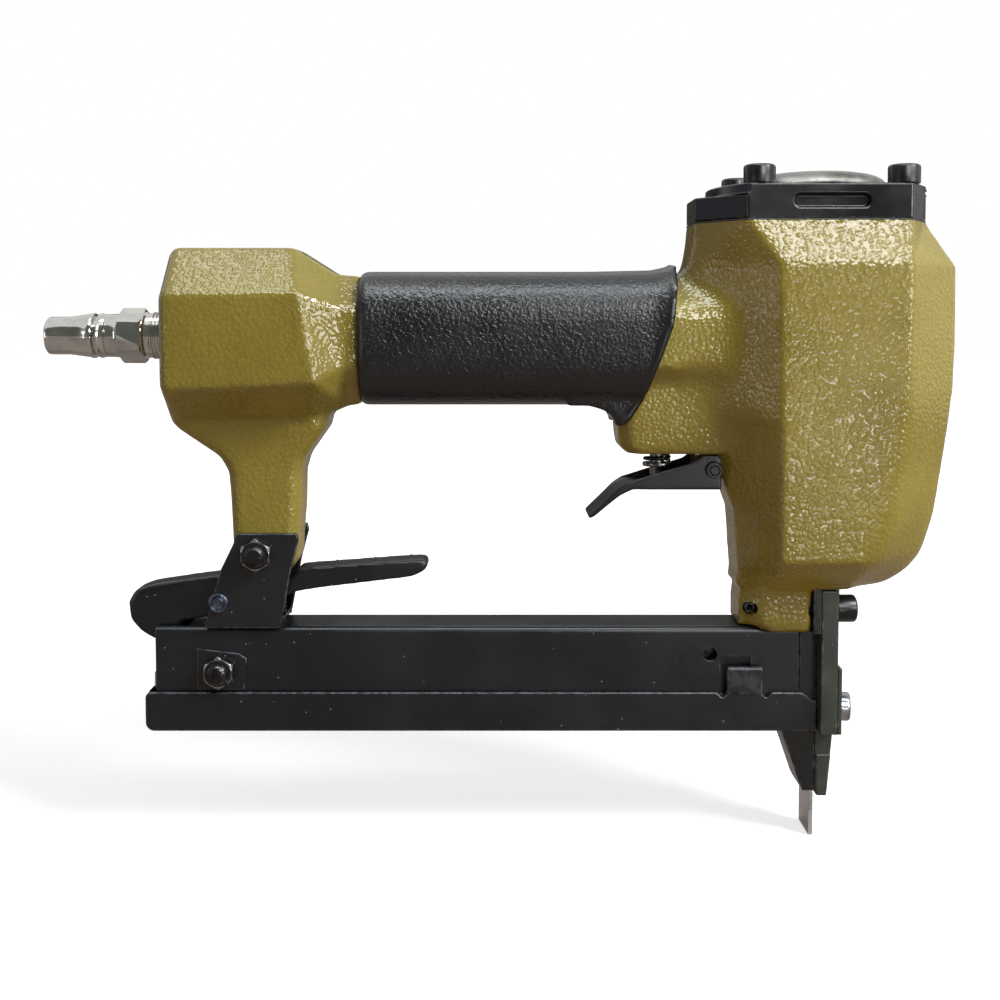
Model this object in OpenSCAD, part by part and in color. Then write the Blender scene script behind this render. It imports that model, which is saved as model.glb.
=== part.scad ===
// Pneumatic upholstery stapler: cast body with hand grip, cylinder and driver,
// trigger valve, bottom loading magazine with sliding cover, and rear latch.
// +X points to the nose, +Z up, the origin is the centre of the hand grip.

/* [Head casting] */
// Distance from the grip's centre forward to the driver axis
driver_x = 83; // [80:0.5:88]
// Overall width of the head
head_w = 45; // [44:0.5:50]
// Reach of the head in front of the driver axis
head_reach = 36.7; // [34:0.1:42]
// Reach of the head behind the driver axis
head_back = 36.7; // [35:0.1:38]
// Height of the cap's seat above the handle axis
head_top = 30.3; // [28:0.1:34]
// Height of the head from its underside to the cap's seat
head_h = 98.8; // [97:0.1:104]
// Radius of the head valve chamber under the cap
chamber_r = 18; // [17.8:0.05:18.5]
// Radius of the air space around the cylinder
reservoir_r = 17; // [16.5:0.05:17.2]
// Depth of the ledge that carries the cylinder's flange, below the cap's seat
ledge_drop = 14.3; // [13:0.1:16]

/* [Handle casting] */
// Distance from the grip's centre back to the rear face
rear_x = 93; // [90:0.5:100]
// Overall width of the rear block
block_w = 42; // [38:0.5:44]
// Overall height of the rear block
block_h = 47.7; // [45:0.1:50]
// Height of the handle core under the grip
core_h = 30; // [28:0.5:31]
// Width of the handle core under the grip
core_w = 27; // [26:0.5:28]
// Radius of the air passage along the handle
passage_r = 9.5; // [7:0.5:10]

/* [Grip] */
// Length of the grip behind its centre
grip_rear = 41.5; // [38:0.5:44]
// Length of the grip ahead of its centre, at its top edge
grip_front = 44.5; // [43:0.5:46]
// Height of the grip's section
grip_h = 36.9; // [35:0.1:40]
// Width of the grip's section
grip_w = 34; // [32:0.5:38]
// Depth of the grip's lower lip below the handle axis
lip_drop = 24.6; // [23:0.1:26]

/* [Leg and bracket] */
// Distance from the grip's centre back to the middle of the leg
leg_x = 67.2; // [66:0.1:69]
// Length of the leg's section along the tool
leg_l = 19.2; // [17:0.1:21]
// Width of the leg between the bracket's plates
leg_w = 16.4; // [14:0.1:17]
// Height of the leg's lower end above the magazine
leg_gap = 14.8; // [14:0.1:17]
// Thickness of the bracket's sheet
bracket_t = 1.6; // [1.2:0.1:2]
// Height of the bracket above the magazine
bracket_h = 26.1; // [24:0.1:28]

/* [Cylinder and driver] */
// Bore radius of the cylinder sleeve
cyl_r = 13; // [12:0.1:13.2]
// Wall of the cylinder sleeve
cyl_wall = 2; // [1.6:0.1:2.2]
// Driver stroke
stroke = 55.5; // [50:0.5:55.5]
// Height of the piston
piston_h = 12; // [11:0.1:13]
// Width of the driver blade
blade_w = 11; // [10:0.1:11.2]
// Thickness of the driver blade
blade_t = 1.2; // [1:0.05:1.3]
// How far the driver blade stands out below the nose at rest
blade_out = 12.7; // [8:0.1:14]

/* [Top cap] */
// Height of the cap at its rear step
cap_step_h = 6.4; // [6:0.1:7]
// Full height of the cap
cap_h = 9.2; // [9:0.1:11]
// Thickness of the cap's gasket
gasket_t = 0.5; // [0.3:0.05:0.8]
// Screw spacing across the tool
screw_span_y = 32; // [31.5:0.1:33]
// Radius of the dome on the cap
dome_r = 18.5; // [17:0.1:19]
// Rise of the dome above the cap
dome_rise = 5; // [3:0.1:6]

/* [Trigger and valve] */
// Distance from the head's rear face back to the trigger's pivot
trigger_back = 3.2; // [3:0.1:4]
// Depth of the trigger's pivot below the handle axis
trigger_drop = 36.5; // [36:0.1:38]
// Overall width of the trigger
trigger_w = 16; // [14:0.1:18]
// Sheet thickness of the trigger
trigger_t = 1.4; // [1:0.1:1.8]
// Depth of the trigger boss below the handle axis
boss_drop = 32.1; // [31.5:0.1:32.2]
// Width of the trigger boss
boss_w = 21; // [19:0.1:24]
// Distance from the trigger's pivot back to the valve's axis
valve_back = 14.6; // [13:0.1:15]
// Radius of the valve's stem
stem_r = 2; // [1.6:0.1:2.2]
// Wire diameter of the valve's spring
valve_wire = 1; // [0.8:0.05:1.1]
// Curls of the valve's spring
valve_curls = 4; // [3:1:4]

/* [Magazine] */
// Height of the foot from the head's underside down to the magazine
foot_h = 11.3; // [11:0.1:13]
// Overall height of the magazine with its cover
mag_h = 28.6; // [27:0.1:31]
// Distance from the grip's centre back to the channel's rear end
mag_rear = 98.2; // [96:0.1:102]
// Width of the fixed channel
channel_w = 16; // [15.6:0.1:16.2]
// Wall of the fixed channel
channel_t = 2.2; // [2:0.1:2.3]
// Height of the sliding cover
cover_h = 10.8; // [10:0.1:13]
// Sheet thickness of the sliding cover
cover_t = 1.2; // [1:0.1:1.6]
// Crown width of the staples
staple_w = 11.2; // [11:0.1:11.3]
// Curls of the pusher's spring
pusher_curls = 30; // [20:1:34]

/* [Nose] */
// Thickness of the front nose plate
nose_t = 4.65; // [4:0.05:5.5]
// Width of the front nose plate
nose_w = 24.6; // [24:0.1:26]
// Height of the front nose plate
nose_h = 39.7; // [39:0.1:41]
// Thickness of the lower cover plate on the nose
nose_cover_t = 1.2; // [0.8:0.1:1.6]
// Length of the guide below the magazine
guide_drop = 17.9; // [15:0.1:20]

/* [Air plug] */
// Length of the plug outside the casting
plug_l = 34.6; // [30:0.1:38]
// Radius of the plug's nose
plug_nose_r = 5.25; // [5:0.05:6]
// Width across the flats of the plug's hexagon
plug_hex = 14; // [13:0.1:17]
// Bore radius of the plug
plug_bore_r = 3.5; // [2.5:0.1:3.8]

/* [Latch] */
// Distance from the grip's centre back to the latch pivot
latch_x = 80.2; // [79:0.1:81]
// Height of the latch pivot above the magazine
latch_rise = 7.1; // [6.5:0.1:8]
// Width of the latch lever
latch_w = 10; // [8:0.1:11]
// Reach of the lever's rear lobe behind the pivot
latch_back = 25.6; // [24:0.1:28]
// Reach of the lever's front arm ahead of the pivot
latch_arm = 57; // [50:0.5:62]

/* [Fits] */
// Radial clearance of running fits
run_gap = 0.05; // [0.02:0.01:0.08]
// Clearance between seated pieces
seat_gap = 0.1; // [0.05:0.01:0.15]
// Clearance between pieces that move past each other
move_gap = 0.3; // [0.25:0.05:0.35]

/* [Hidden] */
$fn = 48;

// Colours
khaki = [0.67, 0.58, 0.27];
black = [0.12, 0.12, 0.13];
rubber = [0.16, 0.17, 0.19];
steel = [0.72, 0.73, 0.75];
brass = [0.72, 0.55, 0.28];
cut_over = 2;

// Head stations, from the underside up: height share, then rear, side rear, side front and front
// shares of the reach, then half width, rear half and front half shares of the half width
crease_drop = 26;
crease_h = 3.75;
head_rear_share = 0.68;
head_station_shares = [
    [0, 0.62, 0.33, 0.16, 0.50, 0.58, 0.30, 0.36],
    [0.043, 0.632, 0.34, 0.25, 0.68, 0.80, 0.32, 0.40],
    [0.091, 0.648, 0.346, 0.32, 0.79, 1, 0.33, 0.40],
    [0.20, 0.672, 0.349, 0.445, 0.88, 1, 0.33, 0.40],
    [1 - (head_top + crease_drop) / head_h, head_rear_share, 0.351, 0.53, 0.97, 1, 0.33, 0.40],
    [1 - (head_top + crease_drop - crease_h) / head_h, 0.97, 0.354, 0.542, 0.98, 1, 0.33, 0.40],
    [0.683, 0.97, 0.36, 0.553, 1, 1, 0.33, 0.40],
    [0.883, 0.98, 0.37, 0.559, 0.992, 1, 0.33, 0.40],
    [1, 0.926, 0.60, 0.572, 0.763, 0.889, 0.31, 0.40]];
head_half = head_w / 2;
head_floor = head_top - head_h;
mag_top = head_floor - foot_h;
head_rear_x = driver_x - head_back * head_rear_share;
trigger_x = head_rear_x - trigger_back;
valve_x = trigger_x - valve_back;

// Rear block and neck stations: shares of the neck's length for top, upper side, lower side and
// bottom corners, then heights as shares of the half height, then half widths of the half width
neck_station_shares = [
    [0, 0, 0, 0, 0.929, 0.417, -0.545, -0.98, 0.919, 0.352],
    [0.035, 0.035, 0.035, 0.035, 1, 0.451, -0.587, -1.04, 1, 0.405],
    [0.654, 0.715, 0.792, 0.72, 1, 0.465, -0.51, -1, 1, 0.405],
    [0.876, 0.924, 0.924, 0.934, 0.70, 0.308, -0.346, -0.80, 0.724, 0.333],
    [1, 1, 1, 1, 0.677, 0.30, -0.338, -0.782, 0.714, 0.333]];
handle_z = -0.8;
neck_l = rear_x - grip_rear;
core_cut = core_h / 5;
shoulder_front_x = driver_x - head_back * 0.62;
shoulder_rear_x = grip_front * 0.55;
shoulder_l = core_h / 8;
grip_wall = 1.6;
shoulder_h = grip_h - 2 * grip_wall;
shoulder_w = grip_w - 2 * grip_wall;
shoulder_cut = shoulder_h / 3.6;

// Leg stations, from the block down: shares of the drop below the block's middle, of the leg's
// length behind and ahead of its middle, and of its half width
leg_station_shares = [
    [0, -1.22, 0.90, 1.14],
    [0.11, -1.27, 0.84, 1.20],
    [0.286, -0.68, 0.552, 1.08],
    [0.385, -0.55, 0.48, 1.04],
    [0.571, -0.53, 0.475, 1],
    [0.92, -0.495, 0.412, 1],
    [1, -0.495, 0.29, 1]];
leg_top = -block_h * 0.42;
leg_corner = leg_w / 8;
leg_bottom = mag_top + leg_gap;

// Trigger boss stations, from the core down: depth share, rear and front shares of the length,
// half width share
boss_station_shares = [[0.3, 0, 1, 1.1], [0.77, 0, 1, 1.04], [0.94, 0.02, 1, 1], [1, 0.09, 1, 0.92]];
boss_back = 11.8;
boss_rear_x = valve_x - boss_back;
boss_front_x = driver_x - head_back * 0.6;
boss_corner = boss_w / 7;
lug_w = trigger_w - 2 * (trigger_t + move_gap);
lug_l = 9;

// Foot under the head that carries the magazine's front
foot_station_shares = [[0, 0.06, 1, 1], [0.6, 0.06, 1, 1], [0.86, 0.10, 1, 1], [1, 0.26, 1, 0.94]];
foot_back = 22;
foot_front_gap = 1.6;
foot_w = 23;
foot_root = 4;
foot_skirt = 0.9;
foot_rear_x = driver_x - foot_back;
foot_front_x = driver_x - foot_front_gap;
foot_top = head_floor + foot_root;
foot_bottom = mag_top - foot_skirt;
foot_corner = foot_w / 4.6;

// Cylinder, from the floor of its bore
floor_t = 11.5;
cyl_neck = 6;
cyl_floor = head_floor + floor_t;
cyl_top = head_top - ledge_drop + cyl_neck;
cyl_out_r = cyl_r + cyl_wall;
cyl_flange_h = 3;
ring_wire = 1.2;
bumper_h = 11.2;
bumper_bore_r = 7.5;
piston_z = cyl_floor + bumper_h + move_gap;
blade_slot_w = blade_w + 2 * seat_gap;
blade_slot_t = blade_t + seat_gap;
blade_seat_h = piston_h * 0.7;
driver_pin_r = 1.5;
driver_pin_l = 17;
seal_h = 1.4;
seal_z = cyl_top + seat_gap;
valve_disc_h = 3.5;
disc_gap = 0.6;
valve_disc_r = chamber_r - disc_gap;
seal_lap = 1.5;
skirt_r = 16.5;
skirt_wall = 4;
skirt_h = 5.2;
head_valve_hole_r = 6;
head_valve_lift = 3;
head_wire = 1.2;
head_spring_r = 9;
head_curls = 3;

// Cap
cap_z = head_top + gasket_t;
cap_pocket_top = cap_z + cap_h * 0.62;
cap_step_r = 29.5;
cap_slot_l = 20;
cap_slot_h = 3.4;
cap_slot_depth = 2.4;
cap_groove = 0.6;
dome_t = 0.8;
dome_rim = 1.4;
dome_cavity_r = dome_r - dome_rim;
screw_r = 2.5;
screw_head_r = 4.25;
screw_head_h = 5;
screw_l = 24;
hex_key = 4;
key_depth = 2.6;
screw_hole_gap = 0.15;
screw_reach_share = 0.518;
screw_set = 0.7;

// Trigger outline, from the pivot: shares of the lever's length back and of its depth
lever_l = 34.5;
lever_depth = 13.4;
trigger_outline_shares = [
    [-0.06, 0.20], [-0.06, -0.41], [0.638, -0.41], [0.664, -0.44], [0.742, -0.54], [0.94, -0.97],
    [0.985, -1.03], [1, -0.97], [0.774, -0.395], [0.69, -0.25], [0.554, -0.15], [0.188, 0.13],
    [0.10, 0.29], [-0.03, 0.29]];
trigger_web_shares = [[-0.06, -0.41], [0.638, -0.41], [0.664, -0.44], [0.742, -0.54], [0.94, -0.97],
    [0.985, -1.03], [1, -0.97], [0.771, -0.43], [0.69, -0.31], [0.64, -0.305], [-0.06, -0.305]];
trigger_pin_r = 1.6;
pin_head_r = 2.7;
pin_head_h = 1;
web_top = -trigger_drop - lever_depth * 0.305;

// Valve
valve_bore_r = 6.5;
bushing_top_gap = 1.5;
bushing_set = 0.2;
bushing_top = handle_z - passage_r - bushing_top_gap;
bushing_bottom = bushing_set - boss_drop;
spring_pocket_r = 4.3;
spring_pocket_h = 8;
valve_head_r = 3.8;
valve_head_h = 4;
valve_room_h = 9;
collar_r = 4;
collar_h = 1;
collar_drop = 4.1;
collar_z = -boss_drop - collar_drop;
stem_tip = web_top + move_gap;
valve_lift = 2.4;
valve_coil_r = 3.4;
o_wire = 1;

// Air plug
plug_thread_r = 6.5;
plug_thread_l = 12;
plug_body_r = 6.25;
plug_station_shares = [0.17, 0.345, 0.385, 0.41, 0.59, 0.78];
plug_groove_r = 5.1;
washer_r = 8.2;
washer_t = 0.9;

// Magazine
mag_floor = mag_top - mag_h;
mag_front_gap = 4.3;
mag_front = driver_x - mag_front_gap;
cover_top = mag_floor + cover_h;
cover_ahead = 0.4;
cover_behind = 2.6;
cover_front = driver_x + cover_ahead;
cover_back = mag_rear + cover_behind;
cover_step_l = 4;
cover_w = channel_w + 2 * (move_gap + cover_t);
cover_travel = 100;
lip_h = cover_t;
groove_depth = 0.55;
tab_back = 24.4;
tab_x = driver_x - tab_back;
tab_l = 9.8;
tab_h = 7.2;
notch_w = 2.2;
channel_lug_w = 12;
channel_lug_l = 16.4;
channel_lug_h = 9;
foot_pin_r = 1.6;
foot_pin_back = 18.2;
foot_pin_rise = 5.6;
foot_pin_x = driver_x - foot_pin_back;
foot_pin_z = mag_top + foot_pin_rise;
side_hole_r = 1.9;
side_hole_back = 28.8;
side_hole_x = driver_x - side_hole_back;
side_hole_drop = 7.5;
pad_l = 13;
pad_h = 11;
pad_t = 0.6;
channel_screw_x = latch_x;
channel_screw_drop = 11.9;
nut_flat = 8;
nut_h = 3.6;
staple_wire = 1;
rail_w = staple_w - 2 * staple_wire;
rail_wall = 1.2;
rail_drop = 5.7;
rail_top = mag_top - rail_drop;
rail_slot_w = 2.4;
rail_set = 11;
rail_front_gap = 2;
rail_rear = mag_rear - rail_set;
rail_front = driver_x - rail_front_gap;
end_block_l = 11;
end_block_h = 14;
pusher_l = 14;
pusher_wall = 0.6;
pusher_travel = 90;
pusher_front_gap = 1.2;
pusher_front = driver_x - pusher_front_gap;
pusher_tongue_w = rail_slot_w - 2 * move_gap;
coil_wire = 0.8;
coil_r = 2.5;
coil_z = mag_floor + cover_t + coil_r + coil_wire;

// Nose
nose_set = 0.05;
nose_top_gap = 0.4;
nose_x = driver_x + blade_t / 2 + nose_set;
nose_top = head_floor - nose_top_gap;
nose_bottom = nose_top - nose_h;
guide_bottom = mag_floor - guide_drop;
guide_w = 15.8;
tip_w = 12.4;
guide_thin = 2.2;
nose_screw_y = 8.3;
nose_screw_r = 2.2;
nose_screw_head_r = 3.8;
nose_screw_head_h = 5.4;
nose_screw_drop = 6;
nose_screw_z = head_floor - nose_screw_drop;
nose_screw_l = 16;
nose_cover_h = 18.4;
nose_lower_rise = 4.2;
nose_lower_z = mag_floor + nose_lower_rise;
nose_lower_head_r = 4;

// Bracket and latch
bracket_y = leg_w / 2 + seat_gap;
bracket_x = 73.2;
bracket_l = 21.8;
bracket_outline_shares = [[-0.5, 0], [0.44, 0], [0.585, 0.62], [0.683, 0.93], [0.66, 1], [-0.09, 1],
    [-0.14, 0.88], [-0.29, 0.63], [-0.5, 0.04]];
bracket_screw_x = 69.5;
bracket_screw_z = mag_top + bracket_h * 0.79;
latch_z = mag_top + latch_rise;
latch_pin_r = 2;
lobe_h = 11.4;
latch_rear_shares = [[0.26, 0.28], [0, 0.58], [-0.3, 0.64], [-0.68, 0.44], [-0.95, 0.22],
    [-1.03, -0.08], [-1.01, -0.5], [-0.9, -0.8], [-0.74, -1.02], [-0.52, -0.99], [-0.45, -0.55],
    [-0.16, -0.44], [0.2, -0.32]];
latch_arm_h = 10.6;
latch_arm_shares = [[0, -0.39], [0.12, -0.35], [0.36, 0.19], [0.48, 0.29], [0.93, 0.58], [0.98, 0.73],
    [1, 0.86], [0.985, 1.02], [0.93, 1.14], [0.39, 0.90], [0.32, 0.53], [0.10, 0.40], [0, 0.40]];
ridge_shares = [0.53, 0.72, 0.91];
ridge_r = 0.9;
latch_wire = 0.7;
latch_coil_r = 2.2;
latch_curls = 2;
latch_spring_ahead = 14.2;
latch_spring_x = latch_x - latch_spring_ahead;

// Shape helpers
function scaled(shares, sx, sy) = [for (p = shares) [p[0] * sx, p[1] * sy]];

// Closed solid through rings of points that run anticlockwise seen from the last ring
module loft(rings) {
    n = len(rings[0]);
    last = (len(rings) - 1) * n;
    sides = [for (i = [0 : len(rings) - 2]) for (j = [0 : n - 1])
        let (k = (j + 1) % n, a = i * n, b = a + n) each [[a + j, b + j, b + k], [a + j, b + k, a + k]]];
    ends = [[for (j = [0 : n - 1]) j], [for (j = [n - 1 : -1 : 0]) last + j]];
    polyhedron([for (r = rings) each r], concat(sides, ends), convexity = 6);
}

// Eight sided ring in a level plane
function level_ring(z, rear, front, half, cut_rear, cut_front) = [
    [rear, half - cut_rear, z], [rear, cut_rear - half, z], [rear + cut_rear, -half, z],
    [front - cut_front, -half, z], [front, cut_front - half, z], [front, half - cut_front, z],
    [front - cut_front, half, z], [rear + cut_rear, half, z]];

// Outline in the XZ plane, drawn across the tool and centred on the middle plane
module across(width) {
    rotate([90, 0, 0]) linear_extrude(width, center = true, convexity = 6) children();
}

// Outline in the YZ plane, drawn forward from x
module forward(x, length) {
    translate([x, 0, 0]) rotate([90, 0, 90]) linear_extrude(length, convexity = 6) children();
}

// Round bar along X, from x forward
module bar_x(x, y, z, r, length) {
    translate([x, y, z]) rotate([0, 90, 0]) cylinder(h = length, r = r);
}

// Round bar along Y, centred on the middle plane
module bar_y(x, z, r, length) {
    translate([x, 0, z]) rotate([90, 0, 0]) cylinder(h = length, r = r, center = true);
}

// Upright round bar from z up
module bar_z(x, z, r, h) {
    translate([x, 0, z]) cylinder(h = h, r = r);
}

// Box given by its low corner in X and Z and its width across the tool
module slab(x, z, length, width, h) {
    translate([x, -width / 2, z]) cube([length, width, h]);
}

// Round ring of wire about the upright axis
module wire_ring(x, z, r, wire) {
    translate([x, 0, z]) rotate_extrude() translate([r, 0]) circle(d = wire);
}

// Octagon with cut corners, centred
module cut_box(w, h, cut) {
    polygon([[w / 2, cut - h / 2], [w / 2, h / 2 - cut], [w / 2 - cut, h / 2], [cut - w / 2, h / 2],
        [-w / 2, h / 2 - cut], [-w / 2, cut - h / 2], [cut - w / 2, -h / 2], [w / 2 - cut, -h / 2]]);
}

// Coil of wire that climbs from zero, with straight ends as long as the wire is thick
coil_rings = 8;
wire_sides = 6;
function coil_path(r, wire, h, curls) = let (steps = curls * coil_rings) concat([[r, 0, 0]],
    [for (i = [0 : steps]) let (a = 360 * i / coil_rings)
        [r * cos(a), r * sin(a), wire + (h - 2 * wire) * i / steps]], [[r, 0, h]]);
function unit(v) = v / norm(v);
function wire_section(p, t, wire) = let (u = unit([p[0], p[1], 0]), w = unit(cross(t, u)))
    [for (k = [0 : wire_sides - 1]) let (a = 360 * k / wire_sides) p + wire / 2 * (cos(a) * u + sin(a) * w)];
function path_tangent(p, i) = (i == 0 || i == len(p) - 1) ? [0, 0, 1] : unit(p[i + 1] - p[i - 1]);
function least_gap(p, wire) = min([for (i = [0 : len(p) - 1])
    for (j = [i + coil_rings / 2 + 1 : 1 : len(p) - 1]) norm(p[i] - p[j])]) - wire;
module coil(name, r, wire, h, curls) {
    p = coil_path(r, wire, h, curls);
    echo(name, "least gap between curls, mm", least_gap(p, wire));
    loft([for (i = [0 : len(p) - 1]) wire_section(p[i], path_tangent(p, i), wire)]);
}

// Socket head screw along +Z with its head's underside at zero and its shank below
module socket_screw(r, head_r, head_h, length, key) {
    difference() {
        union() {
            cylinder(h = head_h, r = head_r);
            translate([0, 0, -length]) cylinder(h = length + head_h / 2, r = r);
        }
        translate([0, 0, head_h - key_depth]) cylinder(h = key_depth + cut_over, d = key * 2 / sqrt(3), $fn = 6);
    }
}

// Hexagon nut along +Z from zero
module hex_nut(flat, h, hole_r) {
    difference() {
        cylinder(h = h, d = flat * 2 / sqrt(3), $fn = 6);
        translate([0, 0, -cut_over]) cylinder(h = h + 2 * cut_over, r = hole_r);
    }
}

// Places of the cap's four screws
module at_cap_screws() {
    for (x = [-head_back, head_reach], sy = [-1, 1])
        translate([driver_x + x * screw_reach_share + screw_set, sy * screw_span_y / 2, 0]) children();
}

// Body casting
function head_ring(s) = let (z = head_floor + s[0] * head_h, hw = s[5] * head_half,
    hr = s[6] * head_half, hf = s[7] * head_half, rear = driver_x - s[1] * head_back,
    side_rear = driver_x - s[2] * head_back, side_front = driver_x + s[3] * head_reach,
    front = driver_x + s[4] * head_reach)
    [[rear, hr, z], [rear, -hr, z], [side_rear, -hw, z], [side_front, -hw, z],
    [front, -hf, z], [front, hf, z], [side_front, hw, z], [side_rear, hw, z]];
function neck_ring(s) = let (xt = s[0] * neck_l - rear_x, xu = s[1] * neck_l - rear_x,
    xl = s[2] * neck_l - rear_x, xb = s[3] * neck_l - rear_x, zt = s[4] * block_h / 2, zu = s[5] * block_h / 2,
    zl = s[6] * block_h / 2, zb = s[7] * block_h / 2, hw = s[8] * block_w / 2, ht = s[9] * block_w / 2)
    [[xu, hw, zu], [xt, ht, zt], [xt, -ht, zt], [xu, -hw, zu],
    [xl, -hw, zl], [xb, -ht, zb], [xb, ht, zb], [xl, hw, zl]];
function core_ring(x, w, h, c, grow) = let (hw = w / 2 + grow, hh = h / 2 + grow)
    [[x, hw, hh - c + handle_z], [x, hw - c, hh + handle_z], [x, c - hw, hh + handle_z],
    [x, -hw, hh - c + handle_z], [x, -hw, c - hh + handle_z], [x, c - hw, -hh + handle_z],
    [x, hw - c, -hh + handle_z], [x, hw, c - hh + handle_z]];

module handle_core(grow) {
    loft([core_ring(-grip_rear - cut_over, core_w, core_h, core_cut, grow),
        core_ring(shoulder_rear_x, core_w, core_h, core_cut, grow),
        core_ring(shoulder_rear_x + shoulder_l, shoulder_w, shoulder_h, shoulder_cut, grow),
        core_ring(shoulder_front_x, shoulder_w, shoulder_h, shoulder_cut, grow)]);
}

module trigger_boss(grow) {
    l = boss_front_x - boss_rear_x;
    loft([for (i = [len(boss_station_shares) - 1 : -1 : 0]) let (s = boss_station_shares[i])
        level_ring(-s[0] * boss_drop, boss_rear_x + s[1] * l - grow, boss_rear_x + s[2] * l,
            s[3] * boss_w / 2 + grow, boss_corner, boss_corner)]);
}

module leg() {
    l = leg_top - leg_bottom;
    loft([for (i = [len(leg_station_shares) - 1 : -1 : 0]) let (s = leg_station_shares[i])
        level_ring(leg_top - s[0] * l, s[1] * leg_l - leg_x, s[2] * leg_l - leg_x,
            s[3] * leg_w / 2, leg_corner, leg_corner)]);
}

module foot() {
    l = foot_front_x - foot_rear_x;
    h = foot_top - foot_bottom;
    difference() {
        loft([for (i = [len(foot_station_shares) - 1 : -1 : 0]) let (s = foot_station_shares[i])
            level_ring(foot_top - s[0] * h, foot_rear_x + s[1] * l, foot_front_x,
                s[3] * foot_w / 2, foot_corner, foot_corner / 5)]);
        slab(foot_rear_x - cut_over, foot_bottom - cut_over, l + 2 * cut_over,
            channel_w + 2 * seat_gap, mag_top + seat_gap - foot_bottom + cut_over);
        slab(foot_rear_x - cut_over, mag_top - cut_over, l + 2 * cut_over,
            channel_lug_w + 2 * seat_gap, channel_lug_h + seat_gap + cut_over);
    }
}

module body_casting() color(khaki) difference() {
    union() {
        loft([for (s = head_station_shares) head_ring(s)]);
        loft([for (s = neck_station_shares) neck_ring(s)]);
        handle_core(0);
        trigger_boss(0);
        leg();
        foot();
        slab(trigger_x - lug_l / 2, -trigger_drop - lug_l / 4, lug_l, lug_w, lug_l);
    }
    // Chamber, ledge, reservoir and cylinder seat, from the top down
    bar_z(driver_x, head_top - ledge_drop, chamber_r, ledge_drop + cut_over);
    bar_z(driver_x, cyl_floor + cyl_flange_h, reservoir_r, head_top - ledge_drop - cyl_floor);
    bar_z(driver_x, cyl_floor, cyl_out_r + run_gap, cyl_top - cyl_floor);
    slab(driver_x - blade_t, head_floor - cut_over, 2 * blade_t, blade_slot_w + 2 * move_gap,
        cyl_floor - head_floor + 2 * cut_over);
    // Air passage along the handle, and the plug's hole
    bar_x(plug_thread_l - rear_x, 0, 0, passage_r, rear_x - plug_thread_l + driver_x - reservoir_r + cut_over);
    bar_x(-rear_x - cut_over, 0, 0, plug_thread_r + run_gap, plug_thread_l + 2 * cut_over);
    // Trigger valve, trigger pin, bracket screw, foot pin
    bar_z(valve_x, -boss_drop - cut_over, valve_bore_r, boss_drop + cut_over + handle_z);
    bar_y(trigger_x, -trigger_drop, trigger_pin_r + run_gap, boss_w);
    bar_y(-bracket_screw_x, bracket_screw_z, screw_r + screw_hole_gap, 2 * leg_w);
    bar_y(foot_pin_x, foot_pin_z, foot_pin_r + run_gap, 2 * foot_w);
    // Screw holes of the cap and of the nose
    at_cap_screws() translate([0, 0, cap_z + cap_h - screw_l - cut_over]) cylinder(h = screw_l, r = screw_r + run_gap);
    for (sy = [-1, 1])
        bar_x(nose_x + nose_t - nose_screw_l - cut_over, sy * nose_screw_y, nose_screw_z,
            nose_screw_r + run_gap, nose_screw_l + cut_over);
}

// Rubber grip, cut obliquely ahead, with a lip around the trigger boss
function oval(w, h, steps) = [for (i = [0 : steps - 1]) let (a = 360 * i / steps, c = cos(a), s = sin(a))
    [sign(c) * pow(abs(c), grip_square_share) * w / 2, sign(s) * pow(abs(s), grip_square_share) * h / 2 + handle_z]];
grip_square_share = 0.72;
grip_steps = 40;
grip_station_shares = [[-1, 0.95], [-0.965, 1], [0.45, 1], [0.85, 1.02], [1.08, 1.14]];
function grip_ring(s) = let (x = s[0] * (s[0] < 0 ? grip_rear : grip_front))
    [for (p = oval(grip_w * s[1], grip_h * s[1], grip_steps)) [x, p[0], p[1]]];
grip_cut_shares = [[-1.1, 1.4], [1.01, 1.4], [1, 0.82], [0.955, 0.12], [0.79, -0.71], [0.72, -0.91],
    [0.645, -1], [0.61, -0.92], [0.60, -0.87], [0.545, -0.81], [0.46, -0.765], [-1.1, -0.765]];

module grip_sleeve() color(rubber) difference() {
    intersection() {
        union() {
            loft([for (s = grip_station_shares) grip_ring(s)]);
            slab(grip_front / 3, -lip_drop - cut_over, grip_front / 2, boss_w + 4 * cap_groove, lip_drop);
        }
        across(2 * grip_w) polygon(scaled(grip_cut_shares, grip_front, lip_drop));
    }
    handle_core(run_gap);
    trigger_boss(run_gap);
}

// Top cap with its gasket, screws and dome
module cap_outline() {
    s = head_station_shares[len(head_station_shares) - 1];
    polygon([for (p = head_ring(s)) [p[0], p[1]]]);
}

module cap_gasket() color(black) translate([0, 0, head_top]) linear_extrude(gasket_t) difference() {
    cap_outline();
    translate([driver_x, 0]) circle(r = chamber_r);
    at_cap_screws() circle(r = screw_r + screw_hole_gap);
}

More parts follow.
